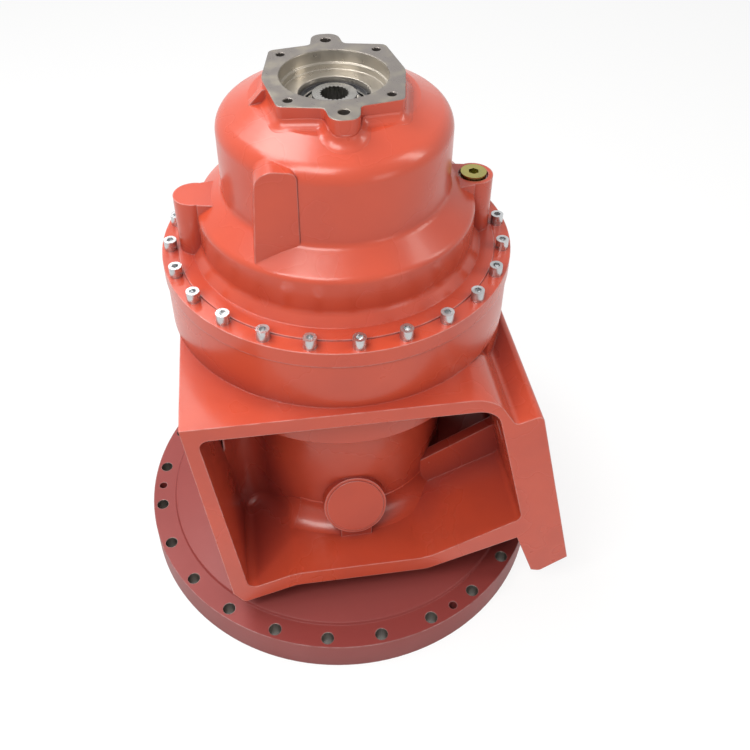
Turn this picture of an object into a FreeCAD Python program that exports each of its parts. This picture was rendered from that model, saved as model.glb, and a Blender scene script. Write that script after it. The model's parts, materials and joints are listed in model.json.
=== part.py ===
import FreeCAD, Part
import math
import os
import Sketcher
from FreeCAD import Placement, Rotation, Vector

# Planetary gearbox that turns a concrete mixer's drum.
# The drum axis is Z. The drum flange's bolting face is z = 0 and the motor
# pad is at the top. The foot that stands on the truck's pedestal is at +X.
# All lengths are millimetres and all angles are degrees.

DRIVING_SIZES = {
    # Drum flange
    "flange_radius": 305.0,
    "flange_thickness": 48.0,
    "flange_hole_radius": 8.75,
    "flange_hole_count": 24,
    "flange_turn": 4.0,
    "jack_hole_radius": 6.0,
    "jack_hole_count": 3,
    "flange_step_rise": 4.0,
    "flange_hole_edge": 14.0,
    "flange_step_width": 34.0,
    "spigot_recess_edge": 65.0,
    "flange_cone_top_radius": 124.0,
    "flange_cone_top_level": 84.0,
    "spigot_recess_depth": 8.0,
    "flange_hub_radius": 100.0,
    "flange_hub_top": 150.0,
    "flange_bore_radius": 62.0,
    # Pedestal frame, cast in one with the gear case
    "frame_half_depth": 232.0,
    "shelf_level": 446.0,
    "shelf_thickness": 21.0,
    "shelf_left": 212.0,
    "shelf_right": 162.0,
    "shelf_round": 50.0,
    "left_wall_foot": 180.0,
    "left_wall_foot_level": 104.0,
    "left_wall_top_thickness": 17.0,
    "left_wall_foot_thickness": 23.0,
    "tip_reach": 166.0,
    "tip_level": 80.0,
    "floor_level": 106.0,
    "floor_thickness": 27.0,
    "floor_left": 92.0,
    "floor_right": 94.0,
    "floor_rise_end": 221.0,
    "floor_rise_level": 155.0,
    "foot_angle": 13.9,
    "foot_reach": 304.0,
    "foot_low_level": 91.0,
    "foot_top_level": 406.0,
    "foot_thickness": 53.0,
    "foot_toe_drop": 27.0,
    "foot_toe_thickness": 39.0,
    "shoulder_level": 394.0,
    "frame_round": 8.0,
    "window_round": 12.0,
    "window_high_round": 32.0,
    "floor_round": 60.0,
    "neck_fillet": 35.0,
    "neck_fillet_sweep": 240.0,
    "foot_hole_radius": 13.0,
    "foot_hole_spread": 190.0,
    "foot_hole_low": 46.0,
    "foot_hole_high": 270.0,
    # Gear case
    "neck_radius": 150.0,
    "neck_bottom": 108.0,
    "collar_radius": 196.0,
    "collar_level": 352.0,
    "collar_slope": 22.0,
    "joint_level": 514.0,
    "case_wall": 7.0,
    "case_chamber_radius": 165.0,
    "case_chamber_floor": 380.0,
    "seal_pocket_radius": 153.0,
    "web_left_half": 72.0,
    "web_right_place": 100.0,
    "web_thickness": 16.0,
    "web_low_level": 185.0,
    "web_high_level": 262.0,
    "web_left_round": 26.0,
    "badge_radius": 44.0,
    "badge_reach": 168.7,
    "badge_level": 186.0,
    "badge_tilt": 20.0,
    "badge_rim": 4.0,
    "badge_step": 1.5,
    "badge_stand_half": 22.0,
    "badge_stand_reach": 180.0,
    # Cover over the first two gear stages, with the motor pad
    "cover_overhang": 2.0,
    "cover_flange_thickness": 21.0,
    "cover_step_height": 2.0,
    "tier_wall": 19.0,
    "tier_foot_spread": 10.0,
    "tier_foot_rise": 17.0,
    "tier_roof": 8.0,
    "dome_wall": 17.0,
    "dome_foot_rise": 25.0,
    "dome_shoulder_rise": 30.0,
    "dome_slope_rise": 23.0,
    "dome_top_rise": 27.0,
    "pad_rise": 77.0,
    "dome_round": 26.0,
    "dome_top_radius": 100.0,
    "tier_round": 10.0,
    "foot_round": 14.0,
    "cover_spigot_gap": 0.5,
    "cover_spigot_length": 8.0,
    "cover_mouth_radius": 180.0,
    "cover_mouth_depth": 8.0,
    "roof_slope": 10.0,
    "ring_shoulder": 14.0,
    "bearing_shoulder": 5.0,
    "screw_clearance": 0.5,
    "plug_hole_spare": 12.0,
    "screw_edge": 9.5,
    "screw_seat_step": 10.5,
    "screw_count": 24,
    "screw_radius": 5.0,
    "screw_length": 45.0,
    "screw_head_radius": 8.0,
    "screw_head_height": 14.0,
    "screw_socket_radius": 4.6,
    "screw_socket_depth": 6.0,
    "oil_boss_place": 176.0,
    "oil_boss_offset": 4.0,
    "oil_boss_radius": 25.0,
    "oil_boss_rise": 15.0,
    "oil_bridge_front": 22.0,
    "oil_bridge_rear": 27.0,
    "plug_recess_radius": 19.0,
    "plug_recess_depth": 5.0,
    "plug_thread_radius": 13.0,
    "plug_thread_length": 16.0,
    "plug_head_radius": 16.5,
    "plug_head_height": 7.0,
    "plug_socket_radius": 7.0,
    "washer_thickness": 1.5,
    "rib_left": 101.0,
    "rib_right": 56.0,
    "rib_face": 131.0,
    "rib_low_left": 109.0,
    "rib_arch": 20.0,
    "rib_top_rise": 36.0,
    "rib_top_fall": 6.0,
    "rib_depth": 52.0,
    # Motor pad, a standard two and four bolt pattern
    "pad_side": 83.0,
    "pad_corner_across": 70.0,
    "pad_corner_along": 70.0,
    "pad_root": 20.0,
    "pad_edge": 79.0,
    "pad_side_round": 40.0,
    "pad_corner_round": 9.0,
    "pad_root_round": 7.0,
    "pad_plate": 18.0,
    "pad_neck_foot": 38.0,
    "ear_reach": 108.0,
    "ear_half_width": 15.5,
    "ear_round": 14.0,
    "ear_column_radius": 17.0,
    "gusset_reach": 112.0,
    "gusset_place": 12.0,
    "gusset_thickness": 11.0,
    "gusset_drop": 6.0,
    "pad_tower_radius": 70.0,
    "pilot_radius": 63.5,
    "pilot_depth": 16.0,
    "pad_well_radius": 61.0,
    "pad_well_depth": 24.0,
    "four_bolt_circle": 80.95,
    "four_bolt_hole": 5.5,
    "two_bolt_circle": 90.5,
    "two_bolt_hole": 6.75,
    "pad_hole_depth": 28.0,
    # Input hub, its ball bearing and the snap ring that shows in the pad
    "input_bearing_outer": 42.5,
    "input_bearing_inner": 22.5,
    "input_bearing_depth": 52.0,
    "input_bearing_width": 19.0,
    "input_race_circle": 32.5,
    "input_ball_radius": 5.5,
    "input_ball_count": 9,
    "input_land": 3.0,
    "ball_cage_wall": 3.0,
    "ball_cage_half_height": 7.0,
    "snap_ring_thickness": 2.5,
    "snap_ring_width": 5.0,
    "snap_ring_bite": 2.0,
    "snap_ring_gap": 7.0,
    "hub_collar_radius": 26.0,
    "spline_teeth": 21,
    "spline_minor_radius": 15.9,
    "spline_major_radius": 17.3,
    "spline_depth": 46.0,
    # Gear train: module, tooth counts, face width and level of each stage
    "module_one": 4.0,
    "sun_one_teeth": 12,
    "planet_one_teeth": 21,
    "ring_one_teeth": 54,
    "face_one": 44.0,
    "level_one": 638.0,
    "module_two": 4.5,
    "sun_two_teeth": 15,
    "planet_two_teeth": 24,
    "ring_two_teeth": 63,
    "face_two": 54.0,
    "level_two": 532.0,
    "module_three": 7.0,
    "sun_three_teeth": 15,
    "planet_three_teeth": 18,
    "ring_three_teeth": 51,
    "face_three": 76.0,
    "level_three": 428.0,
    "planet_count": 3,
    "pressure_angle": 25.0,
    "tip_share": 0.8,
    "root_share": 1.2,
    "backlash_share": 0.12,
    "ring_three_wall": 15.1,
    "ring_one_radius": 124.0,
    "ring_two_radius": 155.0,
    "pin_one_radius": 14.0,
    "pin_two_radius": 19.0,
    "pin_three_radius": 26.0,
    "carrier_one_thickness": 20.0,
    "carrier_two_thickness": 20.0,
    "carrier_three_thickness": 28.0,
    "carrier_one_hub": 46.0,
    "carrier_two_hub": 62.0,
    "carrier_three_hub": 90.0,
    "carrier_gap": 3.0,
    "carrier_rim": 8.0,
    "sun_neck_radius": 24.0,
    "sun_three_neck_radius": 40.0,
    "running_gap": 0.3,
    # Output bearing, shaft and seal
    "output_bearing_outer": 130.0,
    "output_bearing_inner": 75.0,
    "output_bearing_level": 190.0,
    "output_bearing_width": 80.0,
    "output_race_inner": 92.0,
    "output_race_outer": 116.0,
    "roller_count": 20,
    "roller_length": 62.0,
    "cage_wall": 6.0,
    "shaft_foot": 30.0,
    "nut_height": 16.0,
    "nut_wall": 16.0,
    "seal_radius": 116.0,
    "seal_height": 14.0,
    "seal_carrier_flange": 12.0,
    "seal_carrier_radius": 148.0,
    "seal_screw_count": 8,
    "seal_screw_circle": 140.0,
    "seal_screw_radius": 4.0,
    "retaining_radius": 92.0,
    "retaining_thickness": 14.0,
    "retaining_screw_circle": 38.0,
    "retaining_screw_count": 6,
    "retaining_screw_radius": 8.0,
}

# Sizes that follow from the driving ones. Radii step outwards from the gear
# teeth, and levels stack up from the gear stages to the motor pad.
DERIVED_SIZES = {
    "flange_hole_circle": "flange_radius - flange_hole_edge",
    "flange_step_radius": "flange_radius - flange_step_width",
    "spigot_recess_radius": "flange_radius - spigot_recess_edge",
    "gear_seat_radius": "module_three * (ring_three_teeth / 2 + root_share) + ring_three_wall",
    "case_root_radius": "gear_seat_radius + case_wall",
    "screw_circle": "gear_seat_radius + screw_seat_step",
    "ring_radius": "screw_circle + screw_edge",
    "cover_radius": "ring_radius + cover_overhang",
    "cover_face_step": "screw_circle - screw_edge",
    "cover_spigot_radius": "gear_seat_radius - cover_spigot_gap",
    "tier_radius": "ring_two_radius + tier_wall",
    "tier_foot_radius": "tier_radius + tier_foot_spread",
    "tier_foot_level": "joint_level + cover_flange_thickness + tier_foot_rise",
    "stage_two_top": "level_two + face_two + carrier_gap",
    "stage_one_top": "level_one + face_one + carrier_gap",
    "tier_top": "stage_two_top + tier_roof",
    "oil_boss_top": "tier_top + oil_boss_rise",
    "dome_radius": "ring_one_radius + dome_wall",
    "dome_foot": "tier_top + dome_foot_rise",
    "dome_shoulder": "stage_one_top + dome_shoulder_rise",
    "dome_slope_top": "dome_shoulder + dome_slope_rise",
    "dome_top": "dome_shoulder + dome_top_rise",
    "rib_top": "stage_one_top + rib_top_rise",
    "pad_level": "stage_one_top + pad_rise",
    "pad_foot": "pad_level - pad_neck_foot",
    "input_bearing_level": "pad_level - input_bearing_depth",
}

document = FreeCAD.newDocument("mixer_drum_gearbox")
sheet = document.addObject("Spreadsheet::Sheet", "sizes")
for row, (alias, number) in enumerate(DRIVING_SIZES.items(), 1):
    sheet.set("A%d" % row, alias)
    sheet.set("B%d" % row, str(number))
    sheet.setAlias("B%d" % row, alias)
for row, (alias, formula) in enumerate(DERIVED_SIZES.items(), len(DRIVING_SIZES) + 1):
    sheet.set("A%d" % row, alias)
    sheet.set("B%d" % row, "=" + formula)
    sheet.setAlias("B%d" % row, alias)
document.recompute()


class Size:
    """A number from the sheet together with the formula that leads to it."""

    def __init__(self, value, formula):
        self.value = value
        self.formula = formula

    def __add__(self, other):
        other = as_size(other)
        return Size(self.value + other.value, "(%s + %s)" % (self.formula, other.formula))

    def __sub__(self, other):
        other = as_size(other)
        return Size(self.value - other.value, "(%s - %s)" % (self.formula, other.formula))

    def __rsub__(self, other):
        return as_size(other) - self

    def __mul__(self, other):
        other = as_size(other)
        return Size(self.value * other.value, "(%s * %s)" % (self.formula, other.formula))

    def __truediv__(self, other):
        other = as_size(other)
        return Size(self.value / other.value, "(%s / %s)" % (self.formula, other.formula))

    def __neg__(self):
        return Size(-self.value, "(0 - %s)" % self.formula)

    def __float__(self):
        return self.value

    __radd__ = __add__
    __rmul__ = __mul__


def as_size(number):
    """A plain number as a Size; a Size as it is."""
    if isinstance(number, Size):
        return number
    return Size(float(number), repr(float(number)))


def size(alias):
    """The driving size of this name."""
    return Size(float(getattr(sheet, alias)), "sizes.%s" % alias)


def tangent(angle):
    """The tangent of an angle in degrees."""
    return Size(math.tan(math.radians(angle.value)), "tan(%s * 1 deg)" % angle.formula)


def cosine(angle):
    """The cosine of an angle in degrees."""
    return Size(math.cos(math.radians(angle.value)), "cos(%s * 1 deg)" % angle.formula)


def bind(thing, property_name, value):
    """Ties a property to the sheet."""
    thing.setExpression(property_name, as_size(value).formula)


def origin_feature(body, role):
    """A body's own plane or axis, found by its role."""
    return [item for item in body.Origin.OriginFeatures if item.Role == role][0]


def new_body(label):
    body = document.addObject("PartDesign::Body", label)
    body.Label = label
    return body


def sketch_on(body, name, role, height=0.0):
    """A sketch on one of the body's own planes, moved along its normal."""
    sketch = body.newObject("Sketcher::SketchObject", name)
    sketch.AttachmentSupport = [(origin_feature(body, role), "")]
    sketch.MapMode = "FlatFace"
    bind(sketch, "AttachmentOffset.Base.z", height)
    return sketch


def fix_point(sketch, item, end, point):
    """Dimensions one end of a line, or a circle's centre, from the origin."""
    for kind, value in zip(("DistanceX", "DistanceY"), point):
        value = as_size(value)
        index = sketch.addConstraint(Sketcher.Constraint(kind, -1, 1, item, end, value.value))
        if "sizes" in value.formula:
            bind(sketch, "Constraints[%d]" % index, value)


def draw_outline(sketch, points):
    """A closed outline of straight lines with every corner dimensioned.

    A corner is (across, along), or (across, along, round) where it is rounded.
    """
    first = sketch.GeometryCount
    count = len(points)
    for start, end in zip(points, points[1:] + points[:1]):
        corners = [Vector(float(as_size(p[0])), float(as_size(p[1])), 0) for p in (start, end)]
        sketch.addGeometry(Part.LineSegment(*corners), False)
    for item in range(count):
        following = first + (item + 1) % count
        sketch.addConstraint(Sketcher.Constraint("Coincident", first + item, 2, following, 1))
    for item, point in enumerate(points):
        fix_point(sketch, first + item, 1, point[:2])
    for item, point in enumerate(points):
        if len(point) > 2:
            round_corner(sketch, first + item, point[2])


def draw_circle(sketch, centre, radius):
    radius = as_size(radius)
    where = Vector(float(as_size(centre[0])), float(as_size(centre[1])), 0)
    item = sketch.addGeometry(Part.Circle(where, Vector(0, 0, 1), radius.value), False)
    index = sketch.addConstraint(Sketcher.Constraint("Radius", item, radius.value))
    bind(sketch, "Constraints[%d]" % index, radius)
    fix_point(sketch, item, 3, centre)


def round_corner(sketch, corner, radius):
    """Rounds an outline's corner, which stays dimensioned as a bare point."""
    radius = as_size(radius)
    arc = sketch.GeometryCount
    sketch.fillet(corner, 1, radius.value, True, True)
    index = sketch.addConstraint(Sketcher.Constraint("Radius", arc, radius.value))
    bind(sketch, "Constraints[%d]" % index, radius)


def finish(feature, body):
    document.recompute()
    body.Tip = feature
    return feature


def revolve(body, name, points, cut=False, sweep=360.0):
    """Turns a half section, given as (radius, level) corners, about Z."""
    sketch = sketch_on(body, name + "_section", "XZ_Plane")
    draw_outline(sketch, points)
    kind = "PartDesign::Groove" if cut else "PartDesign::Revolution"
    feature = body.newObject(kind, name)
    feature.Profile = sketch
    feature.ReferenceAxis = (sketch, ["V_Axis"])
    feature.Midplane = float(as_size(sweep)) < 360.0
    bind(feature, "Angle", sweep)
    return finish(feature, body)


def extrude(body, name, sketch, length, cut=False, both_ways=False, reverse=False):
    """Pads or pockets a finished sketch."""
    feature = body.newObject("PartDesign::Pocket" if cut else "PartDesign::Pad", name)
    feature.Profile = sketch
    feature.Midplane = both_ways
    feature.Reversed = reverse
    bind(feature, "Length", length)
    return finish(feature, body)


def repeat_round(body, name, feature, count):
    """Copies a feature evenly round the Z axis."""
    pattern = body.newObject("PartDesign::PolarPattern", name)
    pattern.Originals = [feature]
    pattern.Axis = (origin_feature(body, "Z_Axis"), [""])
    pattern.Angle = 360
    bind(pattern, "Occurrences", count)
    return finish(pattern, body)


def turned_piece(label, points):
    """A piece that is one turned section."""
    body = new_body(label)
    revolve(body, label + "_turned", points)
    return body


def plain_piece(label, shape):
    """A piece whose shape is worked out here from the sheet's sizes."""
    piece = document.addObject("Part::Feature", label)
    piece.Label = label
    piece.Shape = shape
    return piece


def copies_round(shape, count, start=0.0):
    """Copies of a shape, evenly round the Z axis."""
    return [
        shape.rotated(Vector(0, 0, 0), Vector(0, 0, 1), start + number * 360.0 / count)
        for number in range(int(count))
    ]


def prism(points, level, height):
    """An upright prism on a closed outline of (x, y) points."""
    corners = [Vector(x, y, level) for x, y in points]
    return Part.Face(Part.makePolygon(corners + corners[:1])).extrude(Vector(0, 0, height))


def cylinder(radius, level, top, place=(0.0, 0.0)):
    return Part.makeCylinder(radius, top - level, Vector(place[0], place[1], level))


# Gear case with the pedestal frame


def foot_face(level):
    """How far out the foot's inclined base lies at a level."""
    drop = level - size("foot_low_level")
    return size("foot_reach") - drop * tangent(size("foot_angle"))


def foot_back(level):
    """The foot plate's inner face, parallel to its base."""
    return foot_face(level) - size("foot_thickness") / cosine(size("foot_angle"))


def left_wall(level, inset=0.0):
    """The frame's sloping left wall; inset moves it inwards."""
    lean = (size("shelf_left") - size("left_wall_foot")) / (
        size("shelf_level") - size("left_wall_foot_level"))
    rise = level - size("left_wall_foot_level")
    return -(size("left_wall_foot") + rise * lean - inset)


def frame_outline():
    shelf, soft = size("shelf_level"), size("frame_round")
    toe_level = size("foot_low_level") - size("foot_toe_drop")
    toe_back = foot_face(size("foot_low_level")) - size("foot_toe_thickness")
    return [
        (-size("shelf_left"), shelf),
        (-size("left_wall_foot"), size("left_wall_foot_level")),
        (-size("tip_reach"), size("tip_level"), soft),
        (-size("floor_left"), size("floor_level"), size("neck_fillet")),
        (size("floor_right"), size("floor_level"), size("neck_fillet")),
        (size("floor_rise_end"), size("floor_rise_level")),
        (toe_back - 13.0, toe_level + 5.0),
        (toe_back, toe_level, soft),
        (size("foot_reach"), size("foot_low_level")),
        (foot_face(size("foot_top_level")), size("foot_top_level"), soft),
        (foot_back(size("shoulder_level")) + 18.0, size("shoulder_level"), soft),
        (size("shelf_right"), shelf, size("shelf_round")),
    ]


def window_outline():
    top = size("shelf_level") - size("shelf_thickness")
    floor = size("floor_level") + size("floor_thickness")
    low = size("floor_level") + 4.0
    right_low = size("floor_rise_level") + size("floor_thickness") + 16.0
    soft = size("window_round")
    return [
        (left_wall(top, size("left_wall_top_thickness")), top, soft),
        (left_wall(low, size("left_wall_foot_thickness")), low, soft),
        (-size("floor_left"), floor, size("floor_round")),
        (size("floor_right"), floor, size("floor_round")),
        (foot_back(right_low), right_low, soft),
        (foot_back(top), top, size("window_high_round")),
    ]


def make_gear_housing():
    body = new_body("gear_housing")
    depth = size("frame_half_depth") * 2.0
    sketch = sketch_on(body, "frame_outline", "XZ_Plane")
    draw_outline(sketch, frame_outline())
    extrude(body, "frame", sketch, depth, both_ways=True)

    sketch = sketch_on(body, "window_outline", "XZ_Plane")
    draw_outline(sketch, window_outline())
    extrude(body, "window", sketch, depth, cut=True, both_ways=True)

    neck, collar = size("neck_radius"), size("collar_radius")
    low, case_top = size("neck_bottom"), size("joint_level")
    revolve(body, "case", [
        (0, low),
        (neck, low),
        (neck, size("collar_level") - size("collar_slope")),
        (collar, size("collar_level")),
        (collar, size("shelf_level") - size("shelf_thickness")),
        (size("case_root_radius"), size("shelf_level") - size("shelf_thickness")),
        (size("case_root_radius"), size("shelf_level") - 1.0),
        (size("ring_radius"), size("shelf_level") - 1.0),
        (size("ring_radius"), case_top),
        (0, case_top),
    ])

    # Wide fillet between the neck and the floor, on the open sides.
    floor, wide = size("floor_level") + size("floor_thickness"), size("neck_fillet")
    revolve(body, "neck_fillet", [
        (neck - 5.0, floor - 20.0),
        (neck + wide + 1.0, floor - 20.0),
        (neck + wide + 1.0, floor - 1.0),
        (neck + 1.0, floor - 1.0, wide - 0.5),
        (neck + 1.0, floor + wide),
        (neck - 5.0, floor + wide + 9.0),
    ], sweep=size("neck_fillet_sweep"))

    # The case wall runs down to the foot's shoulder on the foot's side.
    sketch = sketch_on(body, "skirt_outline", "XY_Plane", size("shoulder_level"))
    reach = size("ring_radius")
    side = size("ring_radius") * 0.6
    draw_outline(sketch, [
        (size("shelf_right") - size("shelf_round") * 0.5, -side),
        (reach * 0.8, -side),
        (reach * 0.94, -side * 0.55),
        (reach * 0.985, 0.0),
        (reach * 0.94, side * 0.55),
        (reach * 0.8, side),
        (size("shelf_right") - size("shelf_round") * 0.5, side),
    ])
    extrude(body, "skirt", sketch, size("shelf_level") - size("shoulder_level"))

    # Left web between the neck and the frame's wall.
    half = size("web_left_half")
    sketch = sketch_on(body, "left_web_outline", "XY_Plane", size("neck_bottom"))
    wall, soft = size("left_wall_foot") - 5.0, size("web_left_round")
    draw_outline(sketch, [
        (-wall, half + 40.0),
        (-wall, -half - 40.0),
        (-wall + 20.0, -half, soft),
        (-neck * 0.8, -half - 11.0),
        (-neck * 0.7, 0.0),
        (-neck * 0.8, half + 11.0),
        (-wall + 20.0, half, soft),
    ])
    web_top = size("shelf_level") - size("shelf_thickness") - size("neck_bottom")
    extrude(body, "left_web", sketch, web_top + 2.0)

    # A pair of upright webs between the neck and the foot.
    for side_name, side in (("front", -1.0), ("rear", 1.0)):
        middle = size("web_right_place") * side
        sketch = sketch_on(body, side_name + "_web_outline", "XZ_Plane", -middle)
        draw_outline(sketch, [
            (neck * 0.6, size("floor_level") + 4.0),
            (foot_back(size("floor_rise_level")) + 10.0, size("floor_rise_level")),
            (foot_back(size("web_high_level")) + 10.0, size("web_high_level")),
            (neck * 0.6, size("web_low_level")),
        ])
        extrude(body, side_name + "_web", sketch, size("web_thickness"), both_ways=True)

    # Round badge boss on the neck, left plain.
    sketch = sketch_on(body, "badge_outline", "XZ_Plane")
    tilt = size("badge_tilt")
    sketch.AttachmentOffset = Placement(
        Vector(0, 0, 0), Rotation(Vector(1, 0, 0), -tilt.value))
    bind(sketch, "AttachmentOffset.Base.y", size("badge_level"))
    bind(sketch, "AttachmentOffset.Base.z", size("badge_reach"))
    draw_circle(sketch, (0.0, 0.0), size("badge_radius"))
    extrude(body, "badge", sketch, size("badge_reach") - neck + 24.0, reverse=True)
    sketch = sketch_on(body, "badge_face_outline", "XZ_Plane")
    sketch.AttachmentOffset = Placement(
        Vector(0, 0, 0), Rotation(Vector(1, 0, 0), -tilt.value))
    bind(sketch, "AttachmentOffset.Base.y", size("badge_level"))
    bind(sketch, "AttachmentOffset.Base.z", size("badge_reach"))
    draw_circle(sketch, (0.0, 0.0), size("badge_radius") - size("badge_rim"))
    extrude(body, "badge_face", sketch, size("badge_step"))
    sketch = sketch_on(body, "badge_stand_outline", "XZ_Plane", size("badge_stand_reach"))
    half = size("badge_stand_half")
    draw_outline(sketch, [
        (-half, floor - 8.0), (half, floor - 8.0), (half, floor + 22.0), (-half, floor + 22.0)])
    extrude(body, "badge_stand", sketch, size("badge_stand_reach") - neck + 12.0, reverse=True)

    # Inside: seal and bearing bore, gear chamber and ring gear seat.
    over = case_top + 1.0
    revolve(body, "inside", [
        (0, size("tip_level") - 30.0),
        (size("seal_pocket_radius"), size("tip_level") - 30.0),
        (size("seal_pocket_radius"), low),
        (size("output_bearing_outer"), low),
        (size("output_bearing_outer"), size("output_bearing_level") + size("output_bearing_width")),
        (size("output_bearing_outer") - 8.0, size("output_bearing_level") + size("output_bearing_width")),
        (size("output_bearing_outer") - 8.0, size("case_chamber_floor") - 30.0),
        (size("case_chamber_radius") - 30.0, size("case_chamber_floor")),
        (size("case_chamber_radius"), size("case_chamber_floor") + 18.0),
        (size("case_chamber_radius"), size("level_three")),
        (size("gear_seat_radius"), size("level_three")),
        (size("gear_seat_radius"), over),
        (0, over),
    ], cut=True)

    # Tapped holes for the cover's screws.
    sketch = sketch_on(body, "tapped_hole_outline", "XY_Plane", case_top)
    draw_circle(sketch, (size("screw_circle"), 0.0), size("screw_radius"))
    tapped = size("screw_length") - size("cover_flange_thickness") + 3.0
    hole = extrude(body, "tapped_hole", sketch, tapped, cut=True)
    repeat_round(body, "tapped_holes", hole, size("screw_count"))

    # Four holes through the foot, square to its base.
    angle = size("foot_angle")
    for name, along in (("low", size("foot_hole_low")), ("high", size("foot_hole_high"))):
        sketch = sketch_on(body, name + "_foot_holes_outline", "YZ_Plane")
        sketch.AttachmentOffset = Placement(
            Vector(0, 0, 0), Rotation(Vector(1, 0, 0), -angle.value))
        bind(sketch, "AttachmentOffset.Base.y", size("foot_low_level"))
        bind(sketch, "AttachmentOffset.Base.z", size("foot_reach"))
        for side in (-1.0, 1.0):
            draw_circle(sketch, (size("foot_hole_spread") * side, along), size("foot_hole_radius"))
        extrude(body, name + "_foot_holes", sketch, size("foot_thickness") + 16.0, cut=True)
    return body


# Cover


def mirrored(quarter):
    """A closed outline from one quarter, whose first corner lies on the X axis."""
    points = list(quarter)
    points += [(-p[0],) + p[1:] for p in reversed(quarter)]
    points += [(-p[0], -p[1]) + p[2:] for p in quarter[1:]]
    points += [(p[0], -p[1]) + p[2:] for p in reversed(quarter[1:])]
    return points


def pad_outline():
    """The motor pad seen from above, with an ear at the front and the rear."""
    return mirrored([
        (size("pad_side"), as_size(0.0), size("pad_side_round")),
        (size("pad_corner_across"), size("pad_corner_along"), size("pad_corner_round")),
        (size("pad_root"), size("pad_edge"), size("pad_root_round")),
        (size("ear_half_width"), size("ear_reach"), size("ear_round")),
    ])


def cover_outside():
    """The cover's half section with its inside filled."""
    joint, pad = size("joint_level"), size("pad_level")
    face = joint + size("cover_flange_thickness")
    spigot = joint - size("cover_spigot_length")
    stepped = face + size("cover_step_height")
    return [
        (0, spigot),
        (size("cover_spigot_radius"), spigot),
        (size("cover_spigot_radius"), joint),
        (size("cover_radius"), joint),
        (size("cover_radius"), face),
        (size("cover_face_step"), face),
        (size("cover_face_step"), stepped),
        (size("tier_foot_radius"), stepped),
        (size("tier_radius"), size("tier_foot_level"), size("foot_round")),
        (size("tier_radius"), size("tier_top"), size("tier_round")),
        (size("dome_radius"), size("dome_foot"), size("tier_round")),
        (size("dome_radius"), size("dome_shoulder"), size("dome_round")),
        (size("dome_top_radius"), size("dome_slope_top")),
        (size("pad_tower_radius"), size("dome_top")),
        (size("pad_tower_radius"), pad),
        (0, pad),
    ]


def cover_inside():
    """The half section of the cover's hollow, from the pad's bore to the joint."""
    pad, spigot = size("pad_level"), size("joint_level") - size("cover_spigot_length")
    well = pad - size("pad_well_depth")
    bearing, seat = size("input_bearing_level"), size("input_bearing_outer")
    groove = bearing + size("input_bearing_width")
    snap = groove + size("snap_ring_thickness")
    bite = seat + size("snap_ring_bite")
    two_top, one_top = size("stage_two_top"), size("stage_one_top")
    roof = one_top + size("roof_slope")
    return [
        (0, pad + 1.0),
        (size("pilot_radius"), pad + 1.0),
        (size("pilot_radius"), pad - size("pilot_depth")),
        (size("pad_well_radius"), pad - size("pilot_depth")),
        (size("pad_well_radius"), well),
        (seat, well),
        (seat, snap),
        (bite, snap),
        (bite, groove),
        (seat, groove),
        (seat, bearing),
        (seat - size("bearing_shoulder"), bearing),
        (seat - size("bearing_shoulder"), roof),
        (size("ring_one_radius") - size("ring_shoulder") - size("roof_slope"), roof),
        (size("ring_one_radius") - size("ring_shoulder"), one_top),
        (size("ring_one_radius"), one_top),
        (size("ring_one_radius"), two_top),
        (size("ring_two_radius"), two_top),
        (size("ring_two_radius"), size("level_two") - size("cover_mouth_depth")),
        (size("cover_mouth_radius"), spigot),
        (size("cover_mouth_radius"), spigot - 1.0),
        (0, spigot - 1.0),
    ]


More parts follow.
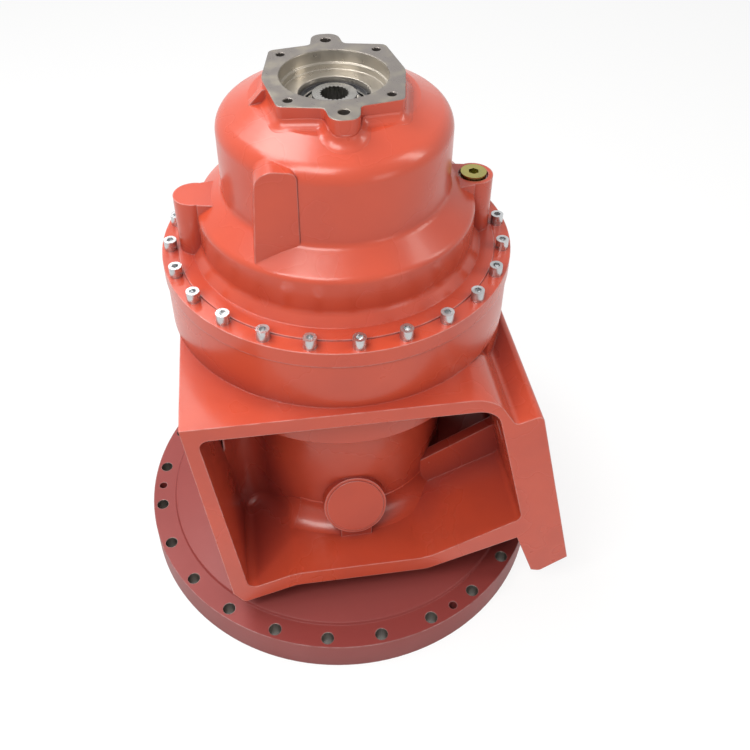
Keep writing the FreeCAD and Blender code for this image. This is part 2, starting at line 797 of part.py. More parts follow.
def make_motor_cover():
    body = new_body("motor_cover")
    pad = size("pad_level")
    face = size("joint_level") + size("cover_flange_thickness")
    revolve(body, "cover_outside", cover_outside())

    # Oil bosses with bridges to the dome, one for the plug and one left blind.
    reach, offset = size("oil_boss_place"), size("oil_boss_offset")
    front, rear = size("oil_bridge_front"), size("oil_bridge_rear")
    for name, side in (("drain", 1.0), ("blind", -1.0)):
        sketch = sketch_on(body, name + "_boss_outline", "XY_Plane", face)
        draw_circle(sketch, (reach * side, offset), size("oil_boss_radius"))
        extrude(body, name + "_boss", sketch, size("oil_boss_top") - face)
        sketch = sketch_on(body, name + "_bridge_outline", "XY_Plane", size("tier_foot_level"))
        root = size("dome_radius") - size("dome_wall") / 2.0
        corners = [
            (root, -front - 8.0), (reach - 4.0, -front), (reach - 4.0, rear), (root, rear + 8.0)]
        draw_outline(sketch, [(x * side, y) for x, y in corners])
        extrude(body, name + "_bridge", sketch, size("oil_boss_top") - size("tier_foot_level"))

    # Flat-faced rib that holds an oil passage; its top is arched.
    sketch = sketch_on(body, "rib_outline", "XZ_Plane", size("rib_face"))
    draw_outline(sketch, [
        (-size("rib_low_left"), size("tier_top") - size("tier_round")),
        (-size("rib_left"), size("rib_top"), size("rib_arch")),
        (-size("rib_right"), size("rib_top") - size("rib_top_fall"), size("rib_arch") / 2.0),
        (-size("rib_right"), size("tier_top") - size("tier_round")),
    ])
    extrude(body, "rib", sketch, size("rib_depth"), reverse=True)

    # Motor pad with its two ears, and a round column under each ear.
    sketch = sketch_on(body, "pad_outline", "XY_Plane", size("pad_foot"))
    draw_outline(sketch, pad_outline())
    extrude(body, "pad", sketch, pad - size("pad_foot"))
    sketch = sketch_on(body, "ear_column_outline", "XY_Plane", size("pad_foot"))
    for side in (-1.0, 1.0):
        draw_circle(sketch, (0.0, (size("ear_reach") - size("ear_column_radius") + 1.0) * side),
                    size("ear_column_radius"))
    extrude(body, "ear_columns", sketch, pad - size("pad_plate") - size("pad_foot"))
    sketch = sketch_on(body, "gusset_outline", "XZ_Plane", size("gusset_place"))
    gusset_top = pad - size("gusset_drop")
    draw_outline(sketch, [
        (-size("pad_tower_radius") - 3.0, gusset_top),
        (-size("pad_side"), gusset_top),
        (-size("gusset_reach"), size("pad_foot")),
        (-size("pad_tower_radius") - 3.0, size("pad_foot")),
    ])
    extrude(body, "gusset", sketch, size("gusset_thickness"), both_ways=True)

    revolve(body, "cover_inside", cover_inside(), cut=True)

    # Screw holes in the flange and bolt holes in the pad.
    sketch = sketch_on(body, "screw_hole_outline", "XY_Plane", face)
    draw_circle(sketch, (size("screw_circle"), 0.0), size("screw_radius") + size("screw_clearance"))
    hole = extrude(body, "screw_hole", sketch, size("cover_flange_thickness"), cut=True)
    repeat_round(body, "screw_holes", hole, size("screw_count"))
    sketch = sketch_on(body, "four_bolt_outline", "XY_Plane", pad)
    diagonal = size("four_bolt_circle") * math.sqrt(0.5)
    draw_circle(sketch, (diagonal, diagonal), size("four_bolt_hole"))
    hole = extrude(body, "four_bolt_hole", sketch, size("pad_hole_depth"), cut=True)
    repeat_round(body, "four_bolt_holes", hole, 4.0)
    sketch = sketch_on(body, "two_bolt_outline", "XY_Plane", pad)
    for side in (-1.0, 1.0):
        draw_circle(sketch, (0.0, size("two_bolt_circle") * side), size("two_bolt_hole"))
    extrude(body, "two_bolt_holes", sketch, size("pad_hole_depth"), cut=True)
    for name, radius, depth in (
            ("plug_recess", size("plug_recess_radius"), size("plug_recess_depth")),
            ("plug_hole", size("plug_thread_radius"),
             size("plug_recess_depth") + size("plug_thread_length") + size("plug_hole_spare"))):
        sketch = sketch_on(body, name + "_outline", "XY_Plane", size("oil_boss_top"))
        draw_circle(sketch, (reach, offset), radius)
        extrude(body, name, sketch, depth, cut=True)
    return body


def make_cover_screws():
    """Socket head screws that hold the cover down."""
    face = float(size("joint_level") + size("cover_flange_thickness"))
    place = (float(size("screw_circle")), 0.0)
    radius, head = float(size("screw_radius")), float(size("screw_head_radius"))
    top = face + float(size("screw_head_height"))
    shank = cylinder(radius, face - float(size("screw_length")), face, place)
    socket_radius = float(size("screw_socket_radius"))
    corners = [
        (place[0] + socket_radius * math.cos(math.radians(60 * k)),
         socket_radius * math.sin(math.radians(60 * k)))
        for k in range(6)
    ]
    depth = float(size("screw_socket_depth"))
    screw = shank.fuse(cylinder(head, face, top, place)).cut(prism(corners, top - depth, depth))
    return plain_piece("cover_screws", Part.makeCompound(
        copies_round(screw, float(size("screw_count")))))


def make_oil_plug():
    place = (float(size("oil_boss_place")), float(size("oil_boss_offset")))
    boss = float(size("oil_boss_top") - size("plug_recess_depth"))
    under = boss + float(size("washer_thickness"))
    top = under + float(size("plug_head_height"))
    thread = float(size("plug_thread_radius"))
    socket_radius = float(size("plug_socket_radius"))
    corners = [
        (place[0] + socket_radius * math.cos(math.radians(60 * k + 20)),
         place[1] + socket_radius * math.sin(math.radians(60 * k + 20)))
        for k in range(6)
    ]
    head = cylinder(float(size("plug_head_radius")), under, top, place)
    shank = cylinder(thread, boss - float(size("plug_thread_length")), under, place)
    plain_piece("drain_plug", head.fuse(shank).cut(prism(corners, top - 7.0, 7.0)))
    washer = cylinder(float(size("plug_head_radius")) + 1.0, boss, under, place)
    plain_piece("plug_washer", washer.cut(cylinder(thread, boss, under, place)))


# Gears

# Straight steps that make up one flank of a tooth.
FLANK_STEPS = 2


def involute_half_angle(radius, pitch, base, half_at_pitch):
    """Half the angle that a tooth fills at a radius, in radians."""
    def involute(where):
        turn = math.acos(min(1.0, base / where))
        return math.tan(turn) - turn
    return half_at_pitch + involute(pitch) - involute(max(radius, base))


def gear_outline(module, teeth, low, high, extra, steps):
    """Corners round a gear. Teeth reach from low to high; extra thickens them."""
    pitch = module * teeth / 2.0
    base = pitch * math.cos(math.radians(float(size("pressure_angle"))))
    half = math.pi / (2.0 * teeth) + extra / (2.0 * pitch)
    radii = [low + (high - low) * step / steps for step in range(steps + 1)]
    angles = [involute_half_angle(radius, pitch, base, half) for radius in radii]
    points = []
    for tooth in range(teeth):
        middle = 2.0 * math.pi * tooth / teeth
        for radius, angle in zip(radii, angles):
            points.append((radius * math.cos(middle - angle), radius * math.sin(middle - angle)))
        for radius, angle in zip(reversed(radii), reversed(angles)):
            points.append((radius * math.cos(middle + angle), radius * math.sin(middle + angle)))
    return points


class Stage:
    """One planetary stage, with its sizes as plain numbers."""

    def __init__(self, name):
        self.name = name
        self.module = float(size("module_" + name))
        self.sun, self.planet, self.ring = [
            int(float(size("%s_%s_teeth" % (kind, name)))) for kind in ("sun", "planet", "ring")]
        self.level = float(size("level_" + name))
        self.top = self.level + float(size("face_" + name))
        self.orbit = self.module * (self.sun + self.planet) / 2.0
        self.pin = float(size("pin_%s_radius" % name))
        self.backlash = self.module * float(size("backlash_share"))

    def external(self, teeth):
        """A gear's outline, thinned by half the backlash."""
        pitch = self.module * teeth / 2.0
        low = pitch - self.module * float(size("root_share"))
        high = pitch + self.module * float(size("tip_share"))
        return gear_outline(self.module, teeth, low, high, -self.backlash / 2.0, FLANK_STEPS)

    def ring_hole(self):
        """The hole in the ring gear, widened by half the backlash."""
        pitch = self.module * self.ring / 2.0
        low = pitch - self.module * float(size("tip_share"))
        high = pitch + self.module * float(size("root_share"))
        return gear_outline(self.module, self.ring, low, high, self.backlash / 2.0, FLANK_STEPS)

    def directions(self):
        """The angles at which the planets sit."""
        count = int(float(size("planet_count")))
        return [360.0 * number / count for number in range(count)]

    def planet_turn(self, direction):
        """How far a planet is turned so that its teeth mesh with the sun's."""
        sun_share = (direction * self.sun / 360.0) % 1.0
        return direction + 180.0 - (0.5 - sun_share) * 360.0 / self.planet

    def ring_turn(self):
        """How far the ring gear is turned so that it meshes with the planets."""
        direction = self.directions()[0]
        planet_share = ((direction - self.planet_turn(direction)) * self.planet / 360.0) % 1.0
        return direction - planet_share * 360.0 / self.ring


def turned_prism(outline, level, top, angle):
    """A prism on an outline, turned about the Z axis."""
    return prism(outline, level, top - level).rotated(Vector(0, 0, 0), Vector(0, 0, 1), angle)


def make_ring_gear(stage, radius):
    blank = cylinder(radius, stage.level, stage.top)
    hole = turned_prism(stage.ring_hole(), stage.level, stage.top, stage.ring_turn())
    plain_piece("ring_gear_" + stage.name, blank.cut(hole))


def make_planets(stage):
    gap = float(size("running_gap"))
    blank = prism(stage.external(stage.planet), stage.level + 1.0, stage.top - stage.level - 2.0)
    blank = blank.cut(cylinder(stage.pin + gap, stage.level, stage.top))
    for letter, direction in zip("abc", stage.directions()):
        gear = blank.rotated(Vector(0, 0, 0), Vector(0, 0, 1), stage.planet_turn(direction))
        angle = math.radians(direction)
        gear.translate(Vector(stage.orbit * math.cos(angle), stage.orbit * math.sin(angle), 0))
        plain_piece("planet_%s_%s" % (stage.name, letter), gear)


def make_carrier(stage, thickness, hub_radius, hub_hole):
    """The plate under the planets, and the pins that it carries."""
    top = stage.level - float(size("carrier_gap"))
    rim = stage.orbit + stage.pin + float(size("carrier_rim"))
    plate = cylinder(rim, top - thickness, top)
    # Scallops between the pins leave three lobes.
    lobes = [
        cylinder(rim * 0.52, top - thickness, top,
                 (rim * 1.15 * math.cos(math.radians(d + 60)), rim * 1.15 * math.sin(math.radians(d + 60))))
        for d in stage.directions()
    ]
    for lobe in lobes:
        plate = plate.cut(lobe)
    plate = plate.fuse(cylinder(hub_radius, top - thickness, top))
    if hub_hole:
        plate = plate.cut(cylinder(hub_hole, top - thickness, top))
    pin = cylinder(stage.pin, top - thickness, stage.top, (stage.orbit, 0.0))
    pins = copies_round(pin, float(size("planet_count")))
    for each in pins:
        plate = plate.cut(each)
    plain_piece("planet_pins_" + stage.name, Part.makeCompound(pins))
    return plate.removeSplitter()


def make_sun(stage, neck_radius, seat_top, bore=0.0):
    """A sun gear whose plain neck runs up into the carrier above."""
    gear = prism(stage.external(stage.sun), stage.level + 1.0, stage.top - stage.level + 1.0)
    neck = cylinder(neck_radius, stage.top + 2.0, seat_top)
    shape = gear.fuse(neck)
    if bore:
        shape = shape.cut(cylinder(bore, stage.level, seat_top))
    plain_piece("sun_gear_" + stage.name, shape)


def make_gear_train():
    one, two, three = Stage("one"), Stage("two"), Stage("three")
    make_ring_gear(one, float(size("ring_one_radius")))
    make_ring_gear(two, float(size("ring_two_radius")))
    make_ring_gear(three, float(size("gear_seat_radius")))
    for stage in (one, two, three):
        make_planets(stage)
    gap = float(size("carrier_gap"))
    neck_two, neck_three = float(size("sun_neck_radius")), float(size("sun_three_neck_radius"))
    plate = make_carrier(one, float(size("carrier_one_thickness")),
                         float(size("carrier_one_hub")), neck_two)
    plain_piece("carrier_one", plate)
    make_sun(two, neck_two, one.level - gap)
    plate = make_carrier(two, float(size("carrier_two_thickness")),
                         float(size("carrier_two_hub")), neck_three)
    plain_piece("carrier_two", plate)
    make_sun(three, neck_three, two.level - gap)
    shaft = float(size("output_bearing_inner")) - 10.0
    plate = make_carrier(three, float(size("carrier_three_thickness")),
                         float(size("carrier_three_hub")), shaft)
    plain_piece("carrier_three", plate)
    make_sun(one, float(size("input_bearing_inner")) - 6.0, one.top + 12.0)


# Input side


def make_input():
    seat, bore = size("input_bearing_outer"), size("input_bearing_inner")
    low = size("input_bearing_level")
    high = low + size("input_bearing_width")
    centre, land = size("input_race_circle"), size("input_land")
    groove = Part.makeTorus(float(centre), float(size("input_ball_radius") + size("running_gap")),
                            Vector(0, 0, float((low + high) / 2.0)))
    outer = cylinder(float(seat), float(low), float(high))
    outer = outer.cut(cylinder(float(centre + land), float(low), float(high))).cut(groove)
    inner = cylinder(float(centre - land), float(low), float(high))
    inner = inner.cut(cylinder(float(bore), float(low), float(high))).cut(groove)
    plain_piece("input_bearing_outer_ring", outer)
    plain_piece("input_bearing_inner_ring", inner)
    middle = float((low + high) / 2.0)
    ball = Part.makeSphere(float(size("input_ball_radius")), Vector(float(centre), 0, middle))
    balls = copies_round(ball, float(size("input_ball_count")))
    half = float(size("ball_cage_half_height"))
    wall = float(size("ball_cage_wall")) / 2.0
    cage = cylinder(float(centre) + wall, middle - half, middle + half)
    cage = cage.cut(cylinder(float(centre) - wall, middle - half, middle + half))
    pocket = Part.makeCylinder(
        float(size("input_ball_radius") + size("running_gap")), float(centre) + 10.0,
        Vector(0, 0, middle), Vector(1, 0, 0))
    for each in copies_round(pocket, len(balls)):
        cage = cage.cut(each)
    plain_piece("input_balls", Part.makeCompound(balls))
    plain_piece("input_ball_cage", cage)

    ring_level = float(high)
    ring_top = ring_level + float(size("snap_ring_thickness"))
    bite = float(seat + size("snap_ring_bite"))
    ring = cylinder(bite, ring_level, ring_top)
    ring = ring.cut(cylinder(bite - float(size("snap_ring_width")), ring_level, ring_top))
    slot_half = float(size("snap_ring_gap"))
    slot_end = bite + float(size("snap_ring_width"))
    slot = prism([(0.0, -slot_half), (slot_end, -slot_half), (slot_end, slot_half), (0.0, slot_half)],
                 ring_level, ring_top - ring_level)
    plain_piece("input_snap_ring", ring.cut(slot))

    # Splined hub that the motor's shaft plugs into.
    hub_top = float(size("pad_level") - size("pad_well_depth"))
    one = Stage("one")
    foot = one.top + 2.0
    hub = cylinder(float(bore), foot, ring_level)
    hub = hub.fuse(cylinder(float(size("hub_collar_radius")), ring_level, hub_top))
    teeth = int(float(size("spline_teeth")))
    minor, major = float(size("spline_minor_radius")), float(size("spline_major_radius"))
    outline = []
    for tooth in range(teeth):
        for radius, share in ((minor, -0.30), (major, -0.16), (major, 0.16), (minor, 0.30)):
            angle = 2.0 * math.pi * (tooth + share) / teeth
            outline.append((radius * math.cos(angle), radius * math.sin(angle)))
    depth = float(size("spline_depth"))
    hub = hub.cut(prism(outline, hub_top - depth, depth))
    hub = hub.cut(cylinder(float(bore) - 6.0, foot, foot + 10.0))
    plain_piece("input_hub", hub)


# Output side


def make_output_bearing():
    low = size("output_bearing_level")
    high = low + size("output_bearing_width")
    turned_piece("output_bearing_outer_ring", [
        (size("output_race_outer"), low), (size("output_bearing_outer"), low),
        (size("output_bearing_outer"), high), (size("output_race_outer"), high)])
    flange = size("output_race_inner") + 6.0
    lip = 7.0
    turned_piece("output_bearing_inner_ring", [
        (size("output_bearing_inner"), low), (flange, low), (flange, low + lip),
        (size("output_race_inner"), low + lip), (size("output_race_inner"), high - lip),
        (flange, high - lip), (flange, high), (size("output_bearing_inner"), high)])
    gap = float(size("running_gap"))
    circle = float(size("output_race_inner") + size("output_race_outer")) / 2.0
    radius = float(size("output_race_outer") - size("output_race_inner")) / 2.0 - gap
    middle = float((low + high) / 2.0)
    half = float(size("roller_length")) / 2.0
    roller = cylinder(radius, middle - half, middle + half, (circle, 0.0))
    rollers = copies_round(roller, float(size("roller_count")))
    plain_piece("output_rollers", Part.makeCompound(rollers))
    wall = float(size("cage_wall")) / 2.0
    cage = cylinder(circle + wall, middle - half - 3.0, middle + half + 3.0)
    cage = cage.cut(cylinder(circle - wall, middle - half - 3.0, middle + half + 3.0))
    for each in rollers:
        cage = cage.cut(each)
    plain_piece("output_roller_cage", cage)


def make_output():
    bearing_low = size("output_bearing_level")
    bearing_high = bearing_low + size("output_bearing_width")
    seat, bore = size("output_bearing_inner"), size("flange_bore_radius")
    foot = size("shaft_foot")
    shaft_top = size("level_three") - size("carrier_gap")
    carrier_low = shaft_top - size("carrier_three_thickness")
    spigot = seat - 10.0
    turned_piece("output_shaft", [
        (0, foot),
        (bore, foot),
        (bore, size("flange_hub_top")),
        (seat, size("flange_hub_top")),
        (seat, carrier_low),
        (spigot, carrier_low),
        (spigot, shaft_top),
        (0, shaft_top),
    ])
    nut_top = bearing_high + size("nut_height")
    turned_piece("bearing_nut", [
        (seat, bearing_high), (seat + size("nut_wall"), bearing_high),
        (seat + size("nut_wall"), nut_top), (seat, nut_top)])
    turned_piece("bearing_spacer", [
        (seat, size("flange_hub_top")), (size("output_race_inner"), size("flange_hub_top")),
        (size("output_race_inner"), bearing_low), (seat, bearing_low)])

    body = new_body("drum_flange")
    thick = size("flange_thickness")
    raised = thick + size("flange_step_rise")
    hub, hub_top = size("flange_hub_radius"), size("flange_hub_top")
    recess, depth = size("spigot_recess_radius"), size("spigot_recess_depth")
    retainer_top = size("shaft_foot")
    revolve(body, "flange_section", [
        (bore, retainer_top),
        (size("retaining_radius") + 0.5, retainer_top),
        (size("retaining_radius") + 0.5, depth),
        (recess, depth),
        (recess, 0),
        (size("flange_radius"), 0),
        (size("flange_radius"), thick),
        (size("flange_step_radius"), thick),
        (size("flange_step_radius") - 2.0, raised),
        (size("flange_cone_top_radius") + 40.0, size("flange_cone_top_level") - 14.0),
        (size("flange_cone_top_radius"), size("flange_cone_top_level")),
        (hub, size("flange_cone_top_level") + 2.0),
        (hub, hub_top),
        (bore, hub_top),
    ])
    sketch = sketch_on(body, "drum_hole_outline", "XY_Plane", thick)
    turn = math.radians(float(size("flange_turn")))
    circle = size("flange_hole_circle")
    draw_circle(sketch, (circle * math.cos(turn), circle * math.sin(turn)), size("flange_hole_radius"))
    hole = extrude(body, "drum_hole", sketch, thick, cut=True)
    repeat_round(body, "drum_holes", hole, size("flange_hole_count"))
    sketch = sketch_on(body, "jack_hole_outline", "XY_Plane", thick)
    turn += math.radians(3.5 * 360.0 / float(size("flange_hole_count")))
    draw_circle(sketch, (circle * math.cos(turn), circle * math.sin(turn)), size("jack_hole_radius"))
    hole = extrude(body, "jack_hole", sketch, thick, cut=True)
    repeat_round(body, "jack_holes", hole, size("jack_hole_count"))

    # Disc and screws that hold the flange on its shaft.
    top = float(retainer_top)
    low = top - float(size("retaining_thickness"))
    disc = cylinder(float(size("retaining_radius")), low, top)
    place = (float(size("retaining_screw_circle")), 0.0)
    thread = float(size("retaining_screw_radius"))
    head = cylinder(thread * 1.5, low - 6.0, low, place)
    screw = head.fuse(cylinder(thread, low, top + 30.0, place))
    screws = copies_round(screw, float(size("retaining_screw_count")))
    for each in screws:
        disc = disc.cut(each)
    plain_piece("retaining_plate", disc)
    plain_piece("retaining_screws", Part.makeCompound(screws))
    shaft = document.getObject("output_shaft")
    sketch = sketch_on(shaft, "retaining_hole_outline", "XY_Plane", size("shaft_foot"))
    draw_circle(sketch, (size("retaining_screw_circle"), 0.0), size("retaining_screw_radius"))
    hole = extrude(shaft, "retaining_hole", sketch, 31.0, cut=True, reverse=True)
    repeat_round(shaft, "retaining_holes", hole, size("retaining_screw_count"))


def make_seal():
    low, bearing = size("neck_bottom"), size("output_bearing_level")
    flange = low - size("seal_carrier_flange")
    hub = size("flange_hub_radius")
    seal, height = size("seal_radius"), size("seal_height")
    opening = hub + 4.0
    body = turned_piece("seal_carrier", [
        (opening, flange), (size("seal_carrier_radius"), flange), (size("seal_carrier_radius"), low),
        (size("output_bearing_outer"), low), (size("output_bearing_outer"), bearing),
        (seal + 2.0, bearing), (seal + 2.0, flange + height + 10.0), (seal, flange + height + 10.0),
        (seal, flange + 6.0), (opening, flange + 6.0)])
    gap = size("running_gap")
    turned_piece("output_seal", [
        (hub + gap, flange + 10.0), (hub + 6.0, flange + 6.0), (seal, flange + 6.0),
        (seal, flange + 6.0 + height), (hub + 6.0, flange + 6.0 + height), (hub + gap, flange + 14.0)])
    sketch = sketch_on(body, "seal_screw_outline", "XY_Plane", low)
    draw_circle(sketch, (size("seal_screw_circle"), 0.0), size("seal_screw_radius"))
    hole = extrude(body, "seal_screw_hole", sketch, size("seal_carrier_flange"), cut=True)
    repeat_round(body, "seal_screw_holes", hole, size("seal_screw_count"))
    place = (float(size("seal_screw_circle")), 0.0)
    radius = float(size("seal_screw_radius"))
    head = cylinder(radius * 1.6, float(flange) - 5.0, float(flange), place)
    screw = head.fuse(cylinder(radius, float(flange), float(low) + 16.0, place))
    plain_piece("seal_screws", Part.makeCompound(copies_round(screw, float(size("seal_screw_count")))))
    case = document.getObject("gear_housing")
    sketch = sketch_on(case, "seal_tapped_outline", "XY_Plane", low)
    draw_circle(sketch, (size("seal_screw_circle"), 0.0), size("seal_screw_radius"))
    hole = extrude(case, "seal_tapped_hole", sketch, 17.0, cut=True, reverse=True)
    repeat_round(case, "seal_tapped_holes", hole, size("seal_screw_count"))


def check_document():
    """Stops if a feature failed or a piece has no sound solid."""
    document.recompute()
    for item in document.Objects:
        if "Invalid" in item.State or "Error" in item.State:
            raise RuntimeError("%s did not build: %s" % (item.Label, item.State))


def pieces():
    """The bodies and plain pieces, each of which is one kept file."""
    return [item for item in document.Objects
            if item.TypeId == "PartDesign::Body" or item.TypeId == "Part::Feature"]


make_gear_housing()
make_motor_cover()
make_cover_screws()
make_oil_plug()
make_gear_train()
make_input()
make_output_bearing()
make_output()
make_seal()
check_document()

os.makedirs("parts", exist_ok=True)
for piece in pieces():
    if piece.Shape.isNull() or not piece.Shape.isValid() or not piece.Shape.Solids:
        raise RuntimeError("%s has no sound solid" % piece.Label)
    piece.Shape.exportStep("parts/%s.step" % piece.Label)
    box = piece.Shape.BoundBox
    print("%-28s solids %2d  volume %10.0f  z %6.1f to %6.1f" % (
        piece.Label, len(piece.Shape.Solids), piece.Shape.Volume, box.ZMin, box.ZMax))
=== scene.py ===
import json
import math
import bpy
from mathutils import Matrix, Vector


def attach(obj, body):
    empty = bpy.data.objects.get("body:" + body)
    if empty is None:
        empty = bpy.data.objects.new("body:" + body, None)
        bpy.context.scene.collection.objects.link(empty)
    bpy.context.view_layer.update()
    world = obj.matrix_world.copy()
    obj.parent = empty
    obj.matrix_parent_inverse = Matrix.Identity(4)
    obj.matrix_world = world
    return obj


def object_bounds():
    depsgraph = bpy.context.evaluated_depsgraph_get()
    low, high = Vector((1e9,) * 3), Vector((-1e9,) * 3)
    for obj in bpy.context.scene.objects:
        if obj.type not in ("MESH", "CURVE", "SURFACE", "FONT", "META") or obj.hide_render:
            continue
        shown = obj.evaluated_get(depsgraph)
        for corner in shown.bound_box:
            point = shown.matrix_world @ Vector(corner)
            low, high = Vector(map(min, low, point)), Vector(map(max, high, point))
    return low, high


bl_info = {
    "name": "Drum gearbox looks",
    "version": (1, 0, 0),
    "blender": (4, 5, 0),
    "location": "3D View > Sidebar > Drum gearbox",
    "description": "Finishes, cast hollows, stage and camera for the mixer drum gearbox",
    "category": "Add Mesh",
}

import bmesh
import bpy
import numpy as np
from bpy.props import FloatProperty, FloatVectorProperty, PointerProperty
from mathutils import Matrix, Vector

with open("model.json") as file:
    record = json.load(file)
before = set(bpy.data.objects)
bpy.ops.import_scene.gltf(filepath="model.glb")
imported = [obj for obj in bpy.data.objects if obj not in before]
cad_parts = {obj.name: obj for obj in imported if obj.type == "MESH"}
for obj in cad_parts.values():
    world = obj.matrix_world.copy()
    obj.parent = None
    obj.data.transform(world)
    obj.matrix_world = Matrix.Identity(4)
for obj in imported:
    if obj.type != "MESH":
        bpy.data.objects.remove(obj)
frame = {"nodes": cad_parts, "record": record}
CAD_BOX = [list(map(float, corner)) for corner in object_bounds()]
MM = 0.001
FLOOR_CLEARANCE = 0.0005
MOUNTS = {mount["name"]: mount for mount in frame["record"]["mounts"]}


def mount_size(name, key):
    """A size of one of the record's mounts, in metres where it is a length."""
    return MOUNTS[name]["dims"][key] * MM


# Sizes and colours that a user would change


def length(label, text, value):
    return FloatProperty(name=label, description=text, default=value, unit="LENGTH", precision=4)


def colour(label, text, value):
    return FloatVectorProperty(
        name=label, description=text, default=value, subtype="COLOR", size=3, min=0.0, max=1.0)


class GearboxPaintSettings(bpy.types.PropertyGroup):
    """Paint and metal colours, in linear light."""

    paint: colour("Paint", "Enamel on the castings", (0.480, 0.063, 0.027))
    # The paint shade is both a darker enamel in random patches and the painted shade in hollows and
    # recesses.
    paint_shade: colour("Paint shade", "Thicker, darker enamel", (0.250, 0.033, 0.025))
    flange_paint: colour("Flange paint", "Enamel on the drum flange", (0.235, 0.036, 0.031))
    # The bore's colour is the same machined iron painted lighter: a painted reflection on the
    # bore's walls.
    machined: colour("Machined face", "Bare machined iron", (0.215, 0.192, 0.180))
    machined_bore_sheen: colour("Machined bore", "Bright turned walls of the bore", (0.400, 0.368, 0.320))
    machined_stain: colour("Machined stain", "Oil stain on machined iron", (0.300, 0.270, 0.215))
    zinc: colour("Bright zinc", "Plating on the cover screws", (0.600, 0.610, 0.620))
    yellow_zinc: colour("Yellow zinc", "Plating on the oil plug", (0.420, 0.360, 0.110))
    steel: colour("Steel", "Bare turned steel", (0.400, 0.390, 0.370))
    bearing: colour("Bearing steel", "Ground bearing steel", (0.600, 0.600, 0.610))
    black: colour("Black oxide", "Blackened fasteners", (0.050, 0.050, 0.055))
    brass: colour("Brass", "Bearing cages", (0.560, 0.400, 0.140))
    rubber: colour("Rubber", "Shaft seal", (0.020, 0.020, 0.022))
    iron: colour("Cast iron", "Bare cast iron", (0.160, 0.155, 0.150))


class GearboxSizeSettings(bpy.types.PropertyGroup):
    """Sizes of the cast hollows, the surface detail and the floor."""

    edge_round: length("Edge round", "Radius that catches light on cast edges", 0.0022)
    pad_foot_round: length(
        "Pad foot round", "Hollow round where the motor pad stands on the dome", 0.009)
    neck_foot_round: length(
        "Neck foot round", "Hollow round at the neck's foot, before it narrows", 0.0345)
    corner_foot_round: length(
        "Corner foot round", "Hollow round at the foot of the left corner", 0.012)
    grain: length("Casting grain", "Size of the lumps left by the sand mould", 0.007)
    floor_half: length("Floor half width", "Half the width of the pale floor", 6.0)


class GearboxCameraSettings(bpy.types.PropertyGroup):
    """The photograph's camera."""

    position: FloatVectorProperty(
        name="Position", description="Where the camera stands", default=(-0.1002, -0.9416, 1.2266),
        subtype="XYZ", unit="LENGTH")
    forward: FloatVectorProperty(
        name="Forward", description="The way the camera looks", default=(0.1208, 0.7533, -0.6465),
        subtype="DIRECTION")
    roll: FloatProperty(
        name="Roll", description="Turn about the line of sight", default=0.014, subtype="ANGLE")
    lens: FloatProperty(
        name="Lens", description="Focal length on a 36 mm sensor", default=43.12, unit="CAMERA")
    shift: FloatProperty(
        name="Shift", description="Upward shift of the view, in frame widths", default=-0.1)


# Shader helpers


def new_group(name, inputs, outputs):
    """A shader node group with the sockets that are named here."""
    group = bpy.data.node_groups.new(name, "ShaderNodeTree")
    for label, kind, value in inputs:
        socket = group.interface.new_socket(name=label, in_out="INPUT", socket_type=kind)
        if value is not None:
            socket.default_value = value
    for label, kind in outputs:
        group.interface.new_socket(name=label, in_out="OUTPUT", socket_type=kind)
    return group, group.nodes.new("NodeGroupInput"), group.nodes.new("NodeGroupOutput")


class Wires:
    """Adds and links nodes in one tree."""

    def __init__(self, tree):
        self.tree = tree

    def feed(self, socket, value):
        if isinstance(value, bpy.types.NodeSocket):
            self.tree.links.new(value, socket)
        elif value is not None:
            socket.default_value = value

    def node(self, kind, inputs=None, **settings):
        made = self.tree.nodes.new(kind)
        for key, value in settings.items():
            setattr(made, key, value)
        for key, value in (inputs or {}).items():
            self.feed(made.inputs[key], value)
        return made

    def math(self, operation, first, second=None, third=None, clamp=False):
        made = self.node("ShaderNodeMath", operation=operation, use_clamp=clamp)
        for socket, value in zip(made.inputs, (first, second, third)):
            self.feed(socket, value)
        return made.outputs[0]

    def distance(self, first, second):
        """The root of the sum of two squares."""
        squares = [self.math("MULTIPLY", value, value) for value in (first, second)]
        return self.math("SQRT", self.math("ADD", *squares))

    def mix(self, factor, first, second):
        made = self.node("ShaderNodeMix", data_type="RGBA")
        self.feed(made.inputs["Factor"], factor)
        self.feed(made.inputs["A"], first)
        self.feed(made.inputs["B"], second)
        return made.outputs["Result"]

    def noise(self, vector, scale, detail=3.0, roughness=0.5):
        made = self.node("ShaderNodeTexNoise", {
            "Vector": vector, "Scale": scale, "Detail": detail, "Roughness": roughness})
        return made.outputs["Fac"]

    def span(self, value, low, high, to_low, to_high):
        made = self.node("ShaderNodeMapRange", {
            "Value": value, "From Min": low, "From Max": high,
            "To Min": to_low, "To Max": to_high}, interpolation_type="SMOOTHSTEP")
        return made.outputs["Result"]


